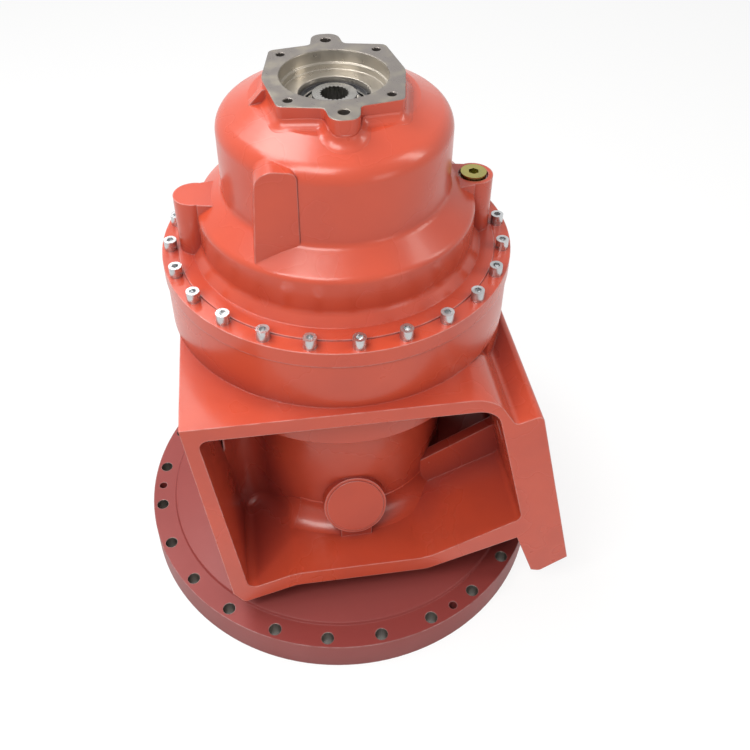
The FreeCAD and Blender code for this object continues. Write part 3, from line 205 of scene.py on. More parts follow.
def cast_paint_group():
    """Enamel over sand-cast iron: colour drift, casting grain, painted shade in hollows, and edges
    lightened as both wear and a painted highlight.
    """
    group, source, target = new_group("cast_paint", [
        ("Paint", "NodeSocketColor", (0.5, 0.1, 0.05, 1.0)),
        ("Shade", "NodeSocketColor", (0.4, 0.05, 0.03, 1.0)),
        ("Worn Highlight Colour", "NodeSocketColor", (0.9, 0.4, 0.3, 1.0)),
        ("Worn Highlight Amount", "NodeSocketFloat", 1.0),
        ("Grain", "NodeSocketFloat", 140.0),
        ("Roughness", "NodeSocketFloat", 0.3),
    ], [("Color", "NodeSocketColor"), ("Roughness", "NodeSocketFloat"),
        ("Height", "NodeSocketFloat"), ("Edge Normal", "NodeSocketVector")])
    wires = Wires(group)
    place = wires.node("ShaderNodeTexCoord").outputs["Object"]
    drift = wires.noise(place, 9.0, 3.0)
    # Painted shade: an ambient occlusion mask darkens the paint towards Shade in hollows, corners
    # and recesses; the drift noise adds darker enamel in random patches.
    cavity_shade = wires.node("ShaderNodeAmbientOcclusion", {"Distance": 0.11}, samples=8)
    hollow = wires.span(cavity_shade.outputs["AO"], 0.25, 0.8, 1.0, 0.0)
    clear = wires.math(
        "MULTIPLY", wires.span(drift, 0.2, 0.85, 1.0, 0.65), wires.math("SUBTRACT", 1.0, hollow))
    mask = wires.math("SUBTRACT", 1.0, clear)
    fine = wires.noise(place, 900.0, 2.0)
    tint = wires.mix(mask, source.outputs["Paint"], source.outputs["Shade"])
    # Painted highlight and wear: convex edges, found by a short inside ambient occlusion, are
    # lightened in patches towards a paler paint, standing in both for worn enamel and for light
    # caught along the edges.
    ridge = wires.node(
        "ShaderNodeAmbientOcclusion", {"Distance": 0.003}, samples=8, inside=True, only_local=True)
    worn_edge_highlight = wires.span(ridge.outputs["AO"], 0.35, 0.8, 0.85, 0.0)
    patches = wires.span(wires.noise(place, 60.0, 3.0), 0.3, 0.6, 0.35, 1.0)
    worn_edge_highlight = wires.math("MULTIPLY", worn_edge_highlight, patches)
    worn_edge_highlight = wires.math("MULTIPLY", worn_edge_highlight, source.outputs["Worn Highlight Amount"])
    tint = wires.mix(worn_edge_highlight, tint, source.outputs["Worn Highlight Colour"])
    lumps = wires.noise(place, source.outputs["Grain"], 3.0, 0.55)
    broad = wires.noise(place, 34.0, 2.0)
    height = wires.math(
        "ADD", wires.math("MULTIPLY", lumps, 0.55), wires.math("MULTIPLY", fine, 0.12))
    height = wires.math("ADD", height, wires.math("MULTIPLY", broad, 1.2))
    rough = wires.math(
        "ADD", source.outputs["Roughness"], wires.span(drift, 0.15, 0.85, -0.04, 0.07))
    edge_round = bpy.context.scene.gearbox_sizes.edge_round
    edge = wires.node("ShaderNodeBevel", {"Radius": edge_round}, samples=5)
    wires.feed(target.inputs["Color"], tint)
    wires.feed(target.inputs["Roughness"], rough)
    wires.feed(target.inputs["Height"], height)
    wires.feed(target.inputs["Edge Normal"], edge.outputs["Normal"])
    return group


def turned_metal_group():
    """Machined metal: fine tool rings round the Z axis, with oily stains."""
    group, source, target = new_group("turned_metal", [
        ("Metal", "NodeSocketColor", (0.5, 0.5, 0.5, 1.0)),
        ("Stain", "NodeSocketColor", (0.3, 0.3, 0.3, 1.0)),
        ("Ring Scale", "NodeSocketFloat", 1800.0),
        ("Roughness", "NodeSocketFloat", 0.3),
    ], [("Color", "NodeSocketColor"), ("Roughness", "NodeSocketFloat"),
        ("Height", "NodeSocketFloat")])
    wires = Wires(group)
    place = wires.node("ShaderNodeTexCoord").outputs["Object"]
    parts = wires.node("ShaderNodeSeparateXYZ", {"Vector": place})
    flat = wires.node("ShaderNodeCombineXYZ", {"X": parts.outputs["X"], "Y": parts.outputs["Y"]})
    radius = wires.node("ShaderNodeVectorMath", {0: flat.outputs[0]}, operation="LENGTH")
    along = wires.math("ADD", radius.outputs["Value"], parts.outputs["Z"])
    rings = wires.math("SINE", wires.math("MULTIPLY", along, source.outputs["Ring Scale"]))
    line = wires.node("ShaderNodeCombineXYZ", {
        "X": wires.math("MULTIPLY", along, 60.0), "Y": 0.0, "Z": 0.0})
    streak = wires.noise(line.outputs[0], 40.0, 4.0)
    blotch = wires.noise(place, 45.0, 4.0, 0.6)
    mask = wires.math(
        "ADD", wires.span(blotch, 0.42, 0.7, 0.0, 0.6),
        wires.span(streak, 0.4, 0.7, 0.0, 0.35), clamp=True)
    tint = wires.mix(mask, source.outputs["Metal"], source.outputs["Stain"])
    wires.feed(target.inputs["Color"], tint)
    rough = wires.math(
        "ADD", source.outputs["Roughness"], wires.span(blotch, 0.35, 0.7, -0.05, 0.12))
    wires.feed(target.inputs["Roughness"], rough)
    height = wires.math(
        "ADD", wires.math("MULTIPLY", rings, 0.25), wires.math("MULTIPLY", streak, 0.6))
    wires.feed(target.inputs["Height"], height)
    return group


def bolt_circle_group():
    """A mask that is 1 inside the holes of one bolt circle about the Z axis."""
    group, source, target = new_group("bolt_circle_mask", [
        ("Circle", "NodeSocketFloat", 0.1), ("Count", "NodeSocketFloat", 4.0),
        ("Turn", "NodeSocketFloat", 0.0), ("Hole", "NodeSocketFloat", 0.01),
    ], [("Mask", "NodeSocketFloat")])
    wires = Wires(group)
    place = wires.node("ShaderNodeTexCoord").outputs["Object"]
    parts = wires.node("ShaderNodeSeparateXYZ", {"Vector": place})
    x, y = parts.outputs["X"], parts.outputs["Y"]
    angle = wires.math("SUBTRACT", wires.math("ARCTAN2", y, x), source.outputs["Turn"])
    step = wires.math("DIVIDE", 2.0 * math.pi, source.outputs["Count"])
    half = wires.math("MULTIPLY", step, 0.5)
    local = wires.math("WRAP", angle, half, wires.math("MULTIPLY", half, -1.0))
    radius = wires.distance(x, y)
    out = wires.math("MULTIPLY", radius, wires.math("COSINE", local))
    out = wires.math("SUBTRACT", out, source.outputs["Circle"])
    side = wires.math("MULTIPLY", radius, wires.math("SINE", local))
    gap = wires.distance(out, side)
    wires.feed(target.inputs["Mask"], wires.math("LESS_THAN", gap, source.outputs["Hole"]))
    return group


def level_mask_group():
    """A mask that is 1 above a level, and another that is 1 within a radius."""
    group, source, target = new_group("level_mask", [
        ("Level", "NodeSocketFloat", 0.1), ("Radius", "NodeSocketFloat", 0.1),
    ], [("Above", "NodeSocketFloat"), ("Within", "NodeSocketFloat")])
    wires = Wires(group)
    place = wires.node("ShaderNodeTexCoord").outputs["Object"]
    parts = wires.node("ShaderNodeSeparateXYZ", {"Vector": place})
    radius = wires.distance(parts.outputs["X"], parts.outputs["Y"])
    above = wires.math("GREATER_THAN", parts.outputs["Z"], source.outputs["Level"])
    wires.feed(target.inputs["Above"], above)
    wires.feed(target.inputs["Within"], wires.math("LESS_THAN", radius, source.outputs["Radius"]))
    return group


GROUPS = {}


def group_named(name):
    """Each shared effect is built once."""
    makers = {
        "cast_paint": cast_paint_group, "turned_metal": turned_metal_group,
        "bolt_circle_mask": bolt_circle_group, "level_mask": level_mask_group,
    }
    if name not in GROUPS:
        GROUPS[name] = makers[name]()
    return GROUPS[name]


def new_material(name):
    material = bpy.data.materials.new(name)
    material.use_nodes = True
    wires = Wires(material.node_tree)
    shader = material.node_tree.nodes["Principled BSDF"]
    return material, wires, shader


def effect(wires, name, inputs):
    made = wires.node("ShaderNodeGroup")
    made.node_tree = group_named(name)
    for key, value in inputs.items():
        wires.feed(made.inputs[key], value)
    return made


def seen_directly(wires):
    """1 for rays from the camera, from a reflection or through glass, else 0."""
    path = wires.node("ShaderNodeLightPath")
    seen = wires.math("MAXIMUM", path.outputs["Is Camera Ray"], path.outputs["Is Glossy Ray"])
    return wires.math("MAXIMUM", seen, path.outputs["Is Transmission Ray"])


def rgba(value):
    return (value[0], value[1], value[2], 1.0)


WORN_HIGHLIGHT_DEPTH = 0.66  # share of the enamel's depth of colour that a worn edge keeps; the lighter edge is both wear and a painted highlight
PAD_FACE_LEVEL, BORE_LEVEL, BORE_RADIUS = 0.7615, 0.60, 0.0642
HOLE_MARGIN = 0.0002
HOLE_TURN = {
    "motor_four_bolts": math.pi / 4.0, "motor_two_bolts": math.pi / 2.0,
    "drum_bolts": math.radians(4.0)}


def painted_casting(name, paint, shade, roughness, bare=None, coat=0.1, worn_highlight=0.8):
    """Enamel on a casting.

    bare(wires) gives a mask of the machined metal, and one of its bore, which is painted lighter as
    a painted reflection, or None.
    """
    colours = bpy.context.scene.gearbox_colours
    grain = 1.0 / bpy.context.scene.gearbox_sizes.grain
    material, wires, shader = new_material(name)
    enamel = effect(wires, "cast_paint", {
        "Paint": rgba(paint), "Shade": rgba(shade), "Grain": grain, "Roughness": roughness,
        "Worn Highlight Amount": worn_highlight, "Worn Highlight Colour": rgba(tuple(1.0 - WORN_HIGHLIGHT_DEPTH * (1.0 - part) for part in paint))})
    bump = wires.node("ShaderNodeBump", {
        "Strength": 0.35, "Distance": 0.0004, "Height": enamel.outputs["Height"],
        "Normal": enamel.outputs["Edge Normal"]})
    shader.inputs["Coat Roughness"].default_value = 0.12
    shader.inputs["Specular IOR Level"].default_value = 0.4
    if bare is None:
        wires.feed(shader.inputs["Base Color"], enamel.outputs["Color"])
        wires.feed(shader.inputs["Roughness"], enamel.outputs["Roughness"])
        wires.feed(shader.inputs["Normal"], bump.outputs["Normal"])
        shader.inputs["Coat Weight"].default_value = coat
        return material
    metal = effect(wires, "turned_metal", {
        "Metal": rgba(colours.machined), "Stain": rgba(colours.machined_stain), "Roughness": 0.32})
    mask, bore_sheen = bare(wires)
    turned = metal.outputs["Color"]
    if bore_sheen is not None:
        # Painted reflection: the bore's walls below the pad face take a lighter copy of the
        # machined colour.
        turned = wires.mix(bore_sheen, turned, rgba(colours.machined_bore_sheen))
    wires.feed(shader.inputs["Base Color"], wires.mix(mask, enamel.outputs["Color"], turned))
    rough = wires.node("ShaderNodeMix", {
        "Factor": mask, "A": enamel.outputs["Roughness"], "B": metal.outputs["Roughness"]},
        data_type="FLOAT")
    wires.feed(shader.inputs["Roughness"], rough.outputs["Result"])
    wires.feed(shader.inputs["Metallic"], wires.math("MULTIPLY", mask, 0.85))
    painted = wires.math("SUBTRACT", 1.0, mask)
    wires.feed(shader.inputs["Coat Weight"], wires.math("MULTIPLY", painted, coat))
    wires.feed(shader.inputs["Normal"], bump.outputs["Normal"])
    return material


def hole_mask(wires, name):
    """A mask of the walls of one mount's bolt holes."""
    holes = effect(wires, "bolt_circle_mask", {
        "Circle": mount_size(name, "pcd_mm") / 2.0, "Turn": HOLE_TURN[name],
        "Count": float(MOUNTS[name]["dims"]["count"]),
        "Hole": mount_size(name, "hole_r_mm") + HOLE_MARGIN})
    return holes.outputs["Mask"]


def cover_bare(wires):
    """The motor pad's face, its bolt holes and everything inside its bore."""
    face = effect(wires, "level_mask", {"Level": PAD_FACE_LEVEL, "Radius": 1.0})
    bore = effect(wires, "level_mask", {"Level": BORE_LEVEL, "Radius": BORE_RADIUS})
    inside = wires.math("MULTIPLY", bore.outputs["Above"], bore.outputs["Within"])
    mask = wires.math("MAXIMUM", face.outputs["Above"], inside)
    for name in ("motor_four_bolts", "motor_two_bolts"):
        high = wires.math("MULTIPLY", hole_mask(wires, name), bore.outputs["Above"])
        mask = wires.math("MAXIMUM", mask, high)
    # The second mask marks the bore below the face, for its painted reflection.
    below_face = wires.math("SUBTRACT", 1.0, face.outputs["Above"])
    return mask, wires.math("MULTIPLY", inside, below_face)


def flange_bare(wires):
    """The walls of the drum flange's bolt holes; it has no bore with a painted reflection."""
    return hole_mask(wires, "drum_bolts"), None


def bare_metal(name, metal, stain, roughness, metallic=1.0):
    """Turned metal, or a turned rubber where metallic is 0."""
    material, wires, shader = new_material(name)
    finish = effect(wires, "turned_metal", {
        "Metal": rgba(metal), "Stain": rgba(stain), "Roughness": roughness})
    bump = wires.node("ShaderNodeBump", {
        "Strength": 0.2, "Distance": 0.0002, "Height": finish.outputs["Height"]})
    wires.feed(shader.inputs["Base Color"], finish.outputs["Color"])
    wires.feed(shader.inputs["Roughness"], finish.outputs["Roughness"])
    wires.feed(shader.inputs["Normal"], bump.outputs["Normal"])
    shader.inputs["Metallic"].default_value = metallic
    return material


def darker(value, share):
    return tuple(part * share for part in value)


# Pieces of the frame and the finish each one gets
NODE_FINISH = {
    "gear_housing": "case_paint", "motor_cover": "cover_paint", "drum_flange": "flange_paint",
    "cover_screws": "bright_zinc", "drain_plug": "yellow_zinc", "plug_washer": "soft_washer",
    "seal_carrier": "bare_iron", "output_seal": "seal_rubber", "seal_screws": "black_screw",
    "retaining_screws": "black_screw", "retaining_plate": "bare_steel",
    "input_hub": "bare_steel", "input_snap_ring": "black_screw",
    "input_bearing_outer_ring": "bearing_steel", "input_bearing_inner_ring": "bearing_steel",
    "input_balls": "bearing_steel", "input_ball_cage": "bare_steel",
    "output_bearing_outer_ring": "bearing_steel", "output_bearing_inner_ring": "bearing_steel",
    "output_rollers": "bearing_steel", "output_roller_cage": "cage_brass",
    "output_shaft": "bare_steel", "bearing_nut": "bare_steel", "bearing_spacer": "bare_steel",
}
FAMILY_FINISH = {
    "ring_gear_": "gear_steel", "sun_gear_": "gear_steel", "planet_pins_": "bearing_steel",
    "planet_": "gear_steel", "carrier_": "bare_iron",
}


def finish_of(node):
    if node in NODE_FINISH:
        return NODE_FINISH[node]
    for family, finish in FAMILY_FINISH.items():
        if node.startswith(family):
            return finish
    raise RuntimeError("No finish is named for %s" % node)


class GEARBOX_OT_finishes(bpy.types.Operator):
    """Give every piece of the frame its paint or metal"""

    bl_idname = "gearbox.finishes"
    bl_label = "Paint and metal finishes"

    def execute(self, context):
        colours = context.scene.gearbox_colours
        paint, shade = tuple(colours.paint), tuple(colours.paint_shade)
        flange = tuple(colours.flange_paint)
        made = {
            "case_paint": painted_casting("case_paint", paint, shade, 0.27),
            "cover_paint": painted_casting("cover_paint", paint, shade, 0.25, cover_bare, 0.12),
            "case_fill_paint": painted_casting("case_fill_paint", paint, shade, 0.27, worn_highlight=0.0),
            "cover_fill_paint": painted_casting(
                "cover_fill_paint", paint, shade, 0.25, coat=0.12, worn_highlight=0.0),
            "flange_paint": painted_casting(
                "flange_paint", flange, darker(flange, 0.7), 0.5, flange_bare, 0.02),
            "bright_zinc": bare_metal("bright_zinc", colours.zinc, darker(colours.zinc, 0.6), 0.27),
            "yellow_zinc": bare_metal("yellow_zinc", colours.yellow_zinc, (0.20, 0.24, 0.10), 0.24),
            "soft_washer": bare_metal("soft_washer", colours.machined, colours.machined_stain, 0.4),
            "bare_iron": bare_metal("bare_iron", colours.iron, darker(colours.iron, 0.7), 0.5, 0.6),
            "bare_steel": bare_metal("bare_steel", colours.steel, darker(colours.steel, 0.6), 0.28),
            "bearing_steel": bare_metal(
                "bearing_steel", colours.bearing, darker(colours.bearing, 0.75), 0.18),
            "gear_steel": bare_metal("gear_steel", colours.steel, darker(colours.steel, 0.7), 0.3),
            "black_screw": bare_metal(
                "black_screw", colours.black, darker(colours.black, 0.6), 0.38, 0.6),
            "cage_brass": bare_metal("cage_brass", colours.brass, darker(colours.brass, 0.7), 0.3),
            "seal_rubber": bare_metal(
                "seal_rubber", colours.rubber, darker(colours.rubber, 0.7), 0.55, 0.0),
        }
        for node, item in frame["nodes"].items():
            item.data.materials.clear()
            item.data.materials.append(made[finish_of(node)])
        return {"FINISHED"}


# Shapes of the small cast surfaces, worked out in millimetres in the frame

NECK_RADIUS = 150.0
COLLAR_RADIUS = 196.0
CONE_LOW, COLLAR_LEVEL = 330.0, 352.0
FLOOR_TOP, FLOOR_BREAK, FLOOR_FALL = 133.0, 92.0, 0.351
TOWER_RADIUS, TOWER_LEVEL = 70.0, 742.0
DOME_BREAK, DOME_BREAK_LEVEL, DOME_FALL = 100.0, 738.0, 0.561
# The frame's left inner wall: its distance at one level, and its lean
WALL_FACE, WALL_LEVEL, WALL_LEAN = 157.6, 110.0, 0.1125
# The corner hollows: the levels of their ends, the lean of their centre, their buried corners
HOLLOW_LOW, HOLLOW_HIGH = 104.0, 426.0
HOLLOW_LEAN = math.radians(37.0)
HOLLOW_BACK, HOLLOW_BACK_DEPTH = math.radians(158.0), 58.0
# The neck foot: its stretch along the neck in degrees, and the level its path is taken at
NECK_FOOT_START, NECK_FOOT_END = -119.6, -143.0
NECK_FOOT_LEVEL = FLOOR_TOP - 14.0
# A quarter of the pad's plan outline: x, y and the corner's round
PAD_QUARTER = [(83.0, 0.0, 40.0), (70.0, 70.0, 9.0), (22.0, 79.0, 9.0), (17.2, 109.0, 16.0)]
SEAM_RADIUS, SEAM_LEVEL = 221.4, 513.0
SEAM_HALF_WIDTH, SEAM_HALF_HEIGHT = 1.2, 0.8
SMOOTH_ANGLE = math.radians(35.0)


def floor_level(x, y):
    """The window floor: level, then falling by a fixed share left of its break."""
    return FLOOR_TOP - FLOOR_FALL * np.maximum(-FLOOR_BREAK - x, 0.0)


def dome_level(x, y):
    """The dome's roof: a shallow cone out to its break and a steeper one beyond."""
    radius = np.hypot(x, y)
    drop, run = TOWER_LEVEL - DOME_BREAK_LEVEL, DOME_BREAK - TOWER_RADIUS
    near = TOWER_LEVEL - (radius - TOWER_RADIUS) * drop / run
    far = DOME_BREAK_LEVEL - (radius - DOME_BREAK) * DOME_FALL
    return np.where(radius < DOME_BREAK, near, far)


def left_wall_face(level):
    """How far left the frame's inner face lies: it leans out as it rises."""
    return WALL_FACE + (level - WALL_LEVEL) * WALL_LEAN


def neck_face(level):
    """The neck's radius, which grows over a short cone to the collar's."""
    share = np.clip((level - CONE_LOW) / (COLLAR_LEVEL - CONE_LOW), 0.0, 1.0)
    return NECK_RADIUS + (COLLAR_RADIUS - NECK_RADIUS) * share


def soft_step(value, low, high):
    """0 below low, 1 above high, and 3t^2 - 2t^3 between them."""
    share = np.clip((value - low) / (high - low), 0.0, 1.0)
    return share * share * (3.0 - 2.0 * share)


def rounded_outline(corners, steps=8):
    """A closed plan outline of (x, y, round) corners, as points along it.

    Each corner becomes an arc that touches both sides. Its centre lies on the
    corner's bisector, at round / sin(half the corner's angle).
    """
    corners = np.asarray(corners, float)
    place, radius = corners[:, :2], corners[:, 2:]
    before = np.roll(place, 1, axis=0) - place
    after = np.roll(place, -1, axis=0) - place
    before /= np.linalg.norm(before, axis=1, keepdims=True)
    after /= np.linalg.norm(after, axis=1, keepdims=True)
    middle = before + after
    middle /= np.linalg.norm(middle, axis=1, keepdims=True)
    half = np.arccos(np.clip((before * middle).sum(axis=1, keepdims=True), -1.0, 1.0))
    centre = place + middle * radius / np.sin(half)
    start = place + before * radius / np.tan(half) - centre
    end = place + after * radius / np.tan(half) - centre
    first = np.arctan2(start[:, 1], start[:, 0])
    sweep = (np.arctan2(end[:, 1], end[:, 0]) - first + math.pi) % (2.0 * math.pi) - math.pi
    angle = first[:, None] + sweep[:, None] * np.linspace(0.0, 1.0, steps)[None, :]
    spokes = np.stack([np.cos(angle), np.sin(angle)], axis=-1)
    return (centre[:, None, :] + radius[:, None, :] * spokes).reshape(-1, 2)


def even_path(points, count, ring=False):
    """The same path as count points at even distances along it."""
    if ring:
        points = np.vstack([points, points[:1]])
    along = np.concatenate([[0.0], np.cumsum(np.linalg.norm(np.diff(points, axis=0), axis=1))])
    places = np.linspace(0.0, along[-1], count + 1 if ring else count)
    even = np.stack([np.interp(places, along, points[:, axis]) for axis in (0, 1)], axis=-1)
    return even[:-1] if ring else even


def path_normals(points, ring=False):
    """Unit normals beside a plan path, on the side away from the Z axis at its start."""
    run = np.gradient(points, axis=0)
    if ring:
        run = np.roll(points, -1, axis=0) - np.roll(points, 1, axis=0)
    normal = np.stack([run[:, 1], -run[:, 0]], axis=-1)
    normal /= np.linalg.norm(normal, axis=1, keepdims=True)
    return normal * np.sign((normal[0] * points[0]).sum())


def foot_round_loops(path, normal, radius, base, depth, steps=10):
    """Loops of a hollow quarter round along the foot of a wall.

    The wall stands on a plan path and base(x, y) is the floor's level. At angle
    a the round lies radius (1 - cos a) out from the wall and radius (1 - sin a)
    above the floor. Three more corners, inside wall and floor, close each loop.
    """
    angle = np.linspace(0.0, math.pi / 2.0, steps)
    radius = np.broadcast_to(np.asarray(radius, float), (len(path),))[:, None]
    out, rise = radius * (1.0 - np.cos(angle)), radius * (1.0 - np.sin(angle))
    plan = path[:, None, :] + normal[:, None, :] * out[..., None]
    level = base(plan[..., 0], plan[..., 1]) + rise
    end, inner = plan[:, -1], path - normal * depth
    under = base(end[:, 0], end[:, 1]) - depth
    plan = np.concatenate([plan, end[:, None], inner[:, None], inner[:, None]], axis=1)
    level = np.concatenate([level, under[:, None], under[:, None], level[:, :1]], axis=1)
    return np.concatenate([plan, level[..., None]], axis=-1)


def mirrored_in_y(loops):
    return loops * np.array([1.0, -1.0, 1.0])


def lofted_mesh(name, loops, ring=False):
    """A closed mesh through closed loops, an array of (loop, corner, xyz).

    Neighbouring loops are joined by four-cornered faces. A ring's last loop
    joins its first; otherwise a flat face closes each end.
    """
    count, corners = loops.shape[:2]
    index = np.arange(count * corners).reshape(count, corners)
    beside = np.roll(index, -1, axis=1)
    quads = np.stack(
        [index, beside, np.roll(beside, -1, axis=0), np.roll(index, -1, axis=0)], axis=-1)
    faces = (quads if ring else quads[:-1]).reshape(-1, 4).tolist()
    if not ring:
        faces += [index[0][::-1].tolist(), index[-1].tolist()]
    mesh = bpy.data.meshes.new(name)
    mesh.from_pydata((loops.reshape(-1, 3) * MM).tolist(), [], faces)
    work = bmesh.new()
    work.from_mesh(mesh)
    bmesh.ops.recalc_face_normals(work, faces=work.faces)
    work.to_mesh(mesh)
    work.free()
    mesh.polygons.foreach_set("use_smooth", np.ones(len(mesh.polygons), dtype=bool))
    mesh.set_sharp_from_angle(angle=SMOOTH_ANGLE)
    return mesh


def add_cast_piece(name, mesh, finish):
    """A finished mesh that rides on the housing and takes the castings' paint."""
    piece = bpy.data.objects.new(name, mesh)
    bpy.context.scene.collection.objects.link(piece)
    mesh.materials.append(bpy.data.materials[finish])
    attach(piece, "housing")


def add_cast_pair(stem, loops):
    """The same piece at the front and, mirrored, at the rear."""
    for side, shape in (("front", loops), ("rear", mirrored_in_y(loops))):
        name = stem + side
        add_cast_piece(name, lofted_mesh(name, shape), "case_fill_paint")


def corner_hollow(level):
    """The hollow between the left wall and the neck, at each level.

    A circle touches the wall's flat face and the neck's circle. Its centre is
    one radius from the wall and neck + radius from the Z axis, in a direction
    that leans forward of straight left. Gives the radius and the centre's x and y.
    """
    share = math.cos(HOLLOW_LEAN)
    wall, neck = left_wall_face(level), neck_face(level)
    radius = (wall - neck * share) / (1.0 + share)
    reach = neck + radius
    return radius, -reach * share, -reach * math.sin(HOLLOW_LEAN)


class GEARBOX_OT_corner_hollows(bpy.types.Operator):
    """Add the smooth hollows where the left wall runs into the neck"""

    bl_idname = "gearbox.corner_hollows"
    bl_label = "Left corner hollows"

    def execute(self, context):
        level = np.concatenate([
            np.linspace(HOLLOW_LOW, CONE_LOW, 30), np.linspace(CONE_LOW, COLLAR_LEVEL, 8)[1:],
            np.linspace(COLLAR_LEVEL, HOLLOW_HIGH, 8)[1:]])
        radius, across, along = (part[:, None] for part in corner_hollow(level))
        angle = np.linspace(math.pi, HOLLOW_LEAN, 18)[None, :]
        x, y = across + radius * np.cos(angle), along + radius * np.sin(angle)
        # Four more corners, inside the neck and the wall, close each loop.
        wall, neck = left_wall_face(level)[:, None] + 4.0, neck_face(level)[:, None] - 5.0
        back = np.full_like(wall, -HOLLOW_BACK_DEPTH)
        x = np.concatenate([
            x, x[:, -1:] * 0.96, neck * math.cos(HOLLOW_BACK), -wall, -wall], axis=1)
        y = np.concatenate([
            y, y[:, -1:] * 0.96, -neck * math.sin(HOLLOW_BACK), back, along], axis=1)
        loops = np.stack([x, y, np.broadcast_to(level[:, None], x.shape)], axis=-1)
        add_cast_pair("corner_hollow_", loops)
        return {"FINISHED"}


class GEARBOX_OT_neck_foot(bpy.types.Operator):
    """Add the hollow round at the neck's foot, narrowing into the left corner"""

    bl_idname = "gearbox.neck_foot"
    bl_label = "Neck foot rounds"

    def execute(self, context):
        sizes = context.scene.gearbox_sizes
        wide, narrow = sizes.neck_foot_round / MM, sizes.corner_foot_round / MM
        hollow, across, along = (float(part) for part in corner_hollow(NECK_FOOT_LEVEL))
        neck = np.radians(np.linspace(NECK_FOOT_START, NECK_FOOT_END, 40))
        arc = np.linspace(HOLLOW_LEAN, math.pi, 40)
        turn = np.stack([across + hollow * np.cos(arc), along + hollow * np.sin(arc)], axis=-1)
        ahead = np.linspace(0.0, 24.0, 10)[1:]
        run = np.stack([np.full(9, turn[-1, 0]), turn[-1, 1] - ahead], axis=-1)
        start = NECK_RADIUS * np.stack([np.cos(neck), np.sin(neck)], axis=-1)
        path = even_path(np.concatenate([start, turn[1:], run]), 110)
        normal = path_normals(path)
        share = np.linspace(0.0, 1.0, len(path))
        proud = 1.0 - soft_step(share, 0.0, 0.25)
        radius = wide + (narrow - wide) * soft_step(share, 0.0, 0.42)
        radius = radius * (1.0 - 0.7 * soft_step(share, 0.8, 1.0))
        loops = foot_round_loops(path + normal * proud[:, None], normal, radius, floor_level, 5.0)
        loops[:, :, 2] -= proud[:, None] * 0.95
        add_cast_pair("neck_foot_", loops)
        return {"FINISHED"}


class GEARBOX_OT_pad_foot(bpy.types.Operator):
    """Add the hollow round on which the motor pad and its ears stand"""

    bl_idname = "gearbox.pad_foot"
    bl_label = "Motor pad foot"

    def execute(self, context):
        corners = PAD_QUARTER + [(-x, y, r) for x, y, r in reversed(PAD_QUARTER)]
        corners += [(-x, -y, r) for x, y, r in PAD_QUARTER[1:]]
        corners += [(x, -y, r) for x, y, r in reversed(PAD_QUARTER[1:])]
        path = even_path(rounded_outline(corners), 240, ring=True)
        normal = path_normals(path, ring=True)
        round_size = context.scene.gearbox_sizes.pad_foot_round / MM
        loops = foot_round_loops(path, normal, round_size, dome_level, 3.0, 8)
        add_cast_piece("pad_foot", lofted_mesh("pad_foot", loops, ring=True), "cover_fill_paint")
        return {"FINISHED"}


class GEARBOX_OT_joint_seam(bpy.types.Operator):
    """Add the paint-filled seam between the cover and the case"""

    bl_idname = "gearbox.joint_seam"
    bl_label = "Joint seam"

    def execute(self, context):
        # A thin ellipse carried round the Z axis, half buried in both rims.
        around = np.linspace(0.0, 2.0 * math.pi, 8, endpoint=False)[None, :]
        turn = np.linspace(0.0, 2.0 * math.pi, 240, endpoint=False)[:, None]
        radius = SEAM_RADIUS + SEAM_HALF_WIDTH * np.cos(around)
        level = SEAM_LEVEL + SEAM_HALF_HEIGHT * np.sin(around)
        x, y = radius * np.cos(turn), radius * np.sin(turn)
        loops = np.stack([x, y, np.broadcast_to(level, x.shape)], axis=-1)
        add_cast_piece("joint_seam", lofted_mesh("joint_seam", loops, ring=True), "case_fill_paint")
        return {"FINISHED"}


def area_light(name, place, aim, width, height, watts, tint):
    """A rectangular lamp at a place, turned towards its aim."""
    data = bpy.data.lights.new(name, "AREA")
    data.shape = "RECTANGLE"
    data.size, data.size_y = width, height
    data.energy = watts
    data.color = tint
    item = bpy.data.objects.new(name, data)
    bpy.context.scene.collection.objects.link(item)
    item.location = place
    item.rotation_euler = (Vector(aim) - Vector(place)).to_track_quat("-Z", "Y").to_euler()


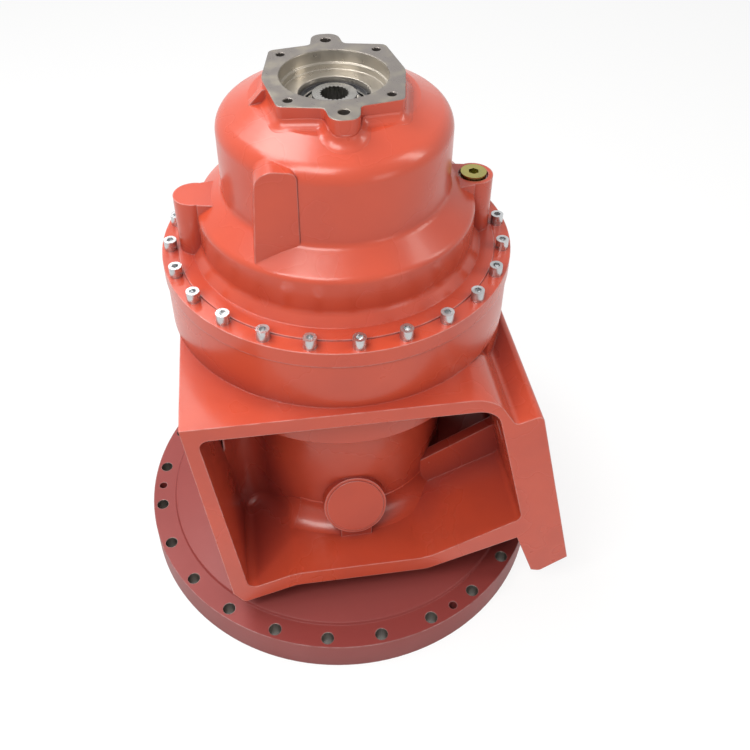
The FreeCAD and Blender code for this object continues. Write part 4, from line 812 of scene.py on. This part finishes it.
class GEARBOX_OT_stage(bpy.types.Operator):
    """Add the pale floor, the soft lights, the world and the camera"""

    bl_idname = "gearbox.stage"
    bl_label = "Stage, lights and camera"

    def execute(self, context):
        scene = context.scene
        scene.view_settings.view_transform = "Standard"
        half = scene.gearbox_sizes.floor_half
        mesh = bpy.data.meshes.new("pale_floor")
        level = CAD_BOX[0][2] - FLOOR_CLEARANCE
        corners = [
            (-half, -half, level), (half, -half, level), (half, half, level), (-half, half, level)]
        mesh.from_pydata(corners, [], [(0, 1, 2, 3)])
        floor = bpy.data.objects.new("pale_floor", mesh)
        scene.collection.objects.link(floor)
        material, wires, shader = new_material("pale_floor")
        shader.inputs["Base Color"].default_value = (0.93, 0.93, 0.93, 1.0)
        shader.inputs["Roughness"].default_value = 0.8
        glow = wires.node("ShaderNodeEmission", {"Color": (1.0, 1.0, 1.0, 1.0), "Strength": 1.0})
        blend = wires.node("ShaderNodeMixShader", {
            "Fac": wires.math("MULTIPLY", seen_directly(wires), 0.82),
            1: shader.outputs[0], 2: glow.outputs[0]})
        output = material.node_tree.nodes["Material Output"]
        wires.feed(output.inputs["Surface"], blend.outputs[0])
        mesh.materials.append(material)

        world = bpy.data.worlds.new("pale_room")
        scene.world = world
        world.use_nodes = True
        wires = Wires(world.node_tree)
        backdrop = world.node_tree.nodes["Background"]
        strength = wires.span(seen_directly(wires), 0.0, 1.0, 0.34, 1.0)
        wires.feed(backdrop.inputs["Color"], (1.0, 1.0, 1.0, 1.0))
        wires.feed(backdrop.inputs["Strength"], strength)

        middle = (0.0, 0.0, 0.4)
        area_light("key_softbox", (-0.72, -1.35, 2.40), middle, 1.2, 1.0, 38.0, (1.0, 0.98, 0.95))
        area_light("left_softbox", (-0.95, 0.35, 2.6), middle, 1.2, 1.1, 42.0, (1.0, 1.0, 1.0))
        area_light("right_strip", (1.8, -0.5, 1.7), middle, 0.4, 1.4, 14.0, (1.0, 0.96, 0.90))
        area_light("top_softbox", (-0.85, 1.45, 2.3), middle, 1.3, 0.5, 12.0, (1.0, 1.0, 1.0))
        area_light("window_lamp", (-1.15, -0.95, 1.75), middle, 0.16, 0.5, 6.0, (1.0, 1.0, 1.0))
        low = (0.0, 0.0, 0.25)
        area_light("low_fill", (0.95, -1.35, 0.62), low, 0.5, 0.5, 1.8, (1.0, 0.97, 0.94))

        settings = scene.gearbox_camera
        forward = Vector(settings.forward).normalized()
        right = forward.cross(Vector((0.0, 0.0, 1.0))).normalized()
        up = right.cross(forward)
        turn = settings.roll
        rolled_right = right * math.cos(turn) + up * math.sin(turn)
        rolled_up = up * math.cos(turn) - right * math.sin(turn)
        data = bpy.data.cameras.new("photo_camera")
        data.sensor_fit = "HORIZONTAL"
        data.sensor_width = 36.0
        data.lens = settings.lens
        data.shift_y = settings.shift
        data.clip_end = 50.0
        camera = bpy.data.objects.new("photo_camera", data)
        scene.collection.objects.link(camera)
        axes = Matrix((rolled_right, rolled_up, -forward)).transposed()
        camera.matrix_world = Matrix.Translation(Vector(settings.position)) @ axes.to_4x4()
        scene.camera = camera
        return {"FINISHED"}


class GEARBOX_PT_panel(bpy.types.Panel):
    """The gearbox's pieces and stage"""

    bl_label = "Drum gearbox"
    bl_idname = "GEARBOX_PT_panel"
    bl_space_type = "VIEW_3D"
    bl_region_type = "UI"
    bl_category = "Drum gearbox"

    def draw(self, context):
        for operator in OPERATORS:
            self.layout.operator(operator.bl_idname)


OPERATORS = (
    GEARBOX_OT_finishes, GEARBOX_OT_corner_hollows, GEARBOX_OT_neck_foot, GEARBOX_OT_pad_foot,
    GEARBOX_OT_joint_seam, GEARBOX_OT_stage)
SETTINGS = (
    ("gearbox_colours", GearboxPaintSettings),
    ("gearbox_sizes", GearboxSizeSettings),
    ("gearbox_camera", GearboxCameraSettings),
)


def register():
    for name, settings in SETTINGS:
        bpy.utils.register_class(settings)
        setattr(bpy.types.Scene, name, PointerProperty(type=settings))
    for item in OPERATORS + (GEARBOX_PT_panel,):
        bpy.utils.register_class(item)


def unregister():
    for item in reversed(OPERATORS + (GEARBOX_PT_panel,)):
        bpy.utils.unregister_class(item)
    for name, settings in reversed(SETTINGS):
        delattr(bpy.types.Scene, name)
        bpy.utils.unregister_class(settings)


def main():
    register()
    bpy.ops.gearbox.finishes()
    bpy.ops.gearbox.corner_hollows()
    bpy.ops.gearbox.neck_foot()
    bpy.ops.gearbox.pad_foot()
    bpy.ops.gearbox.joint_seam()
    bpy.ops.gearbox.stage()


if __name__ == "__main__":
    main()
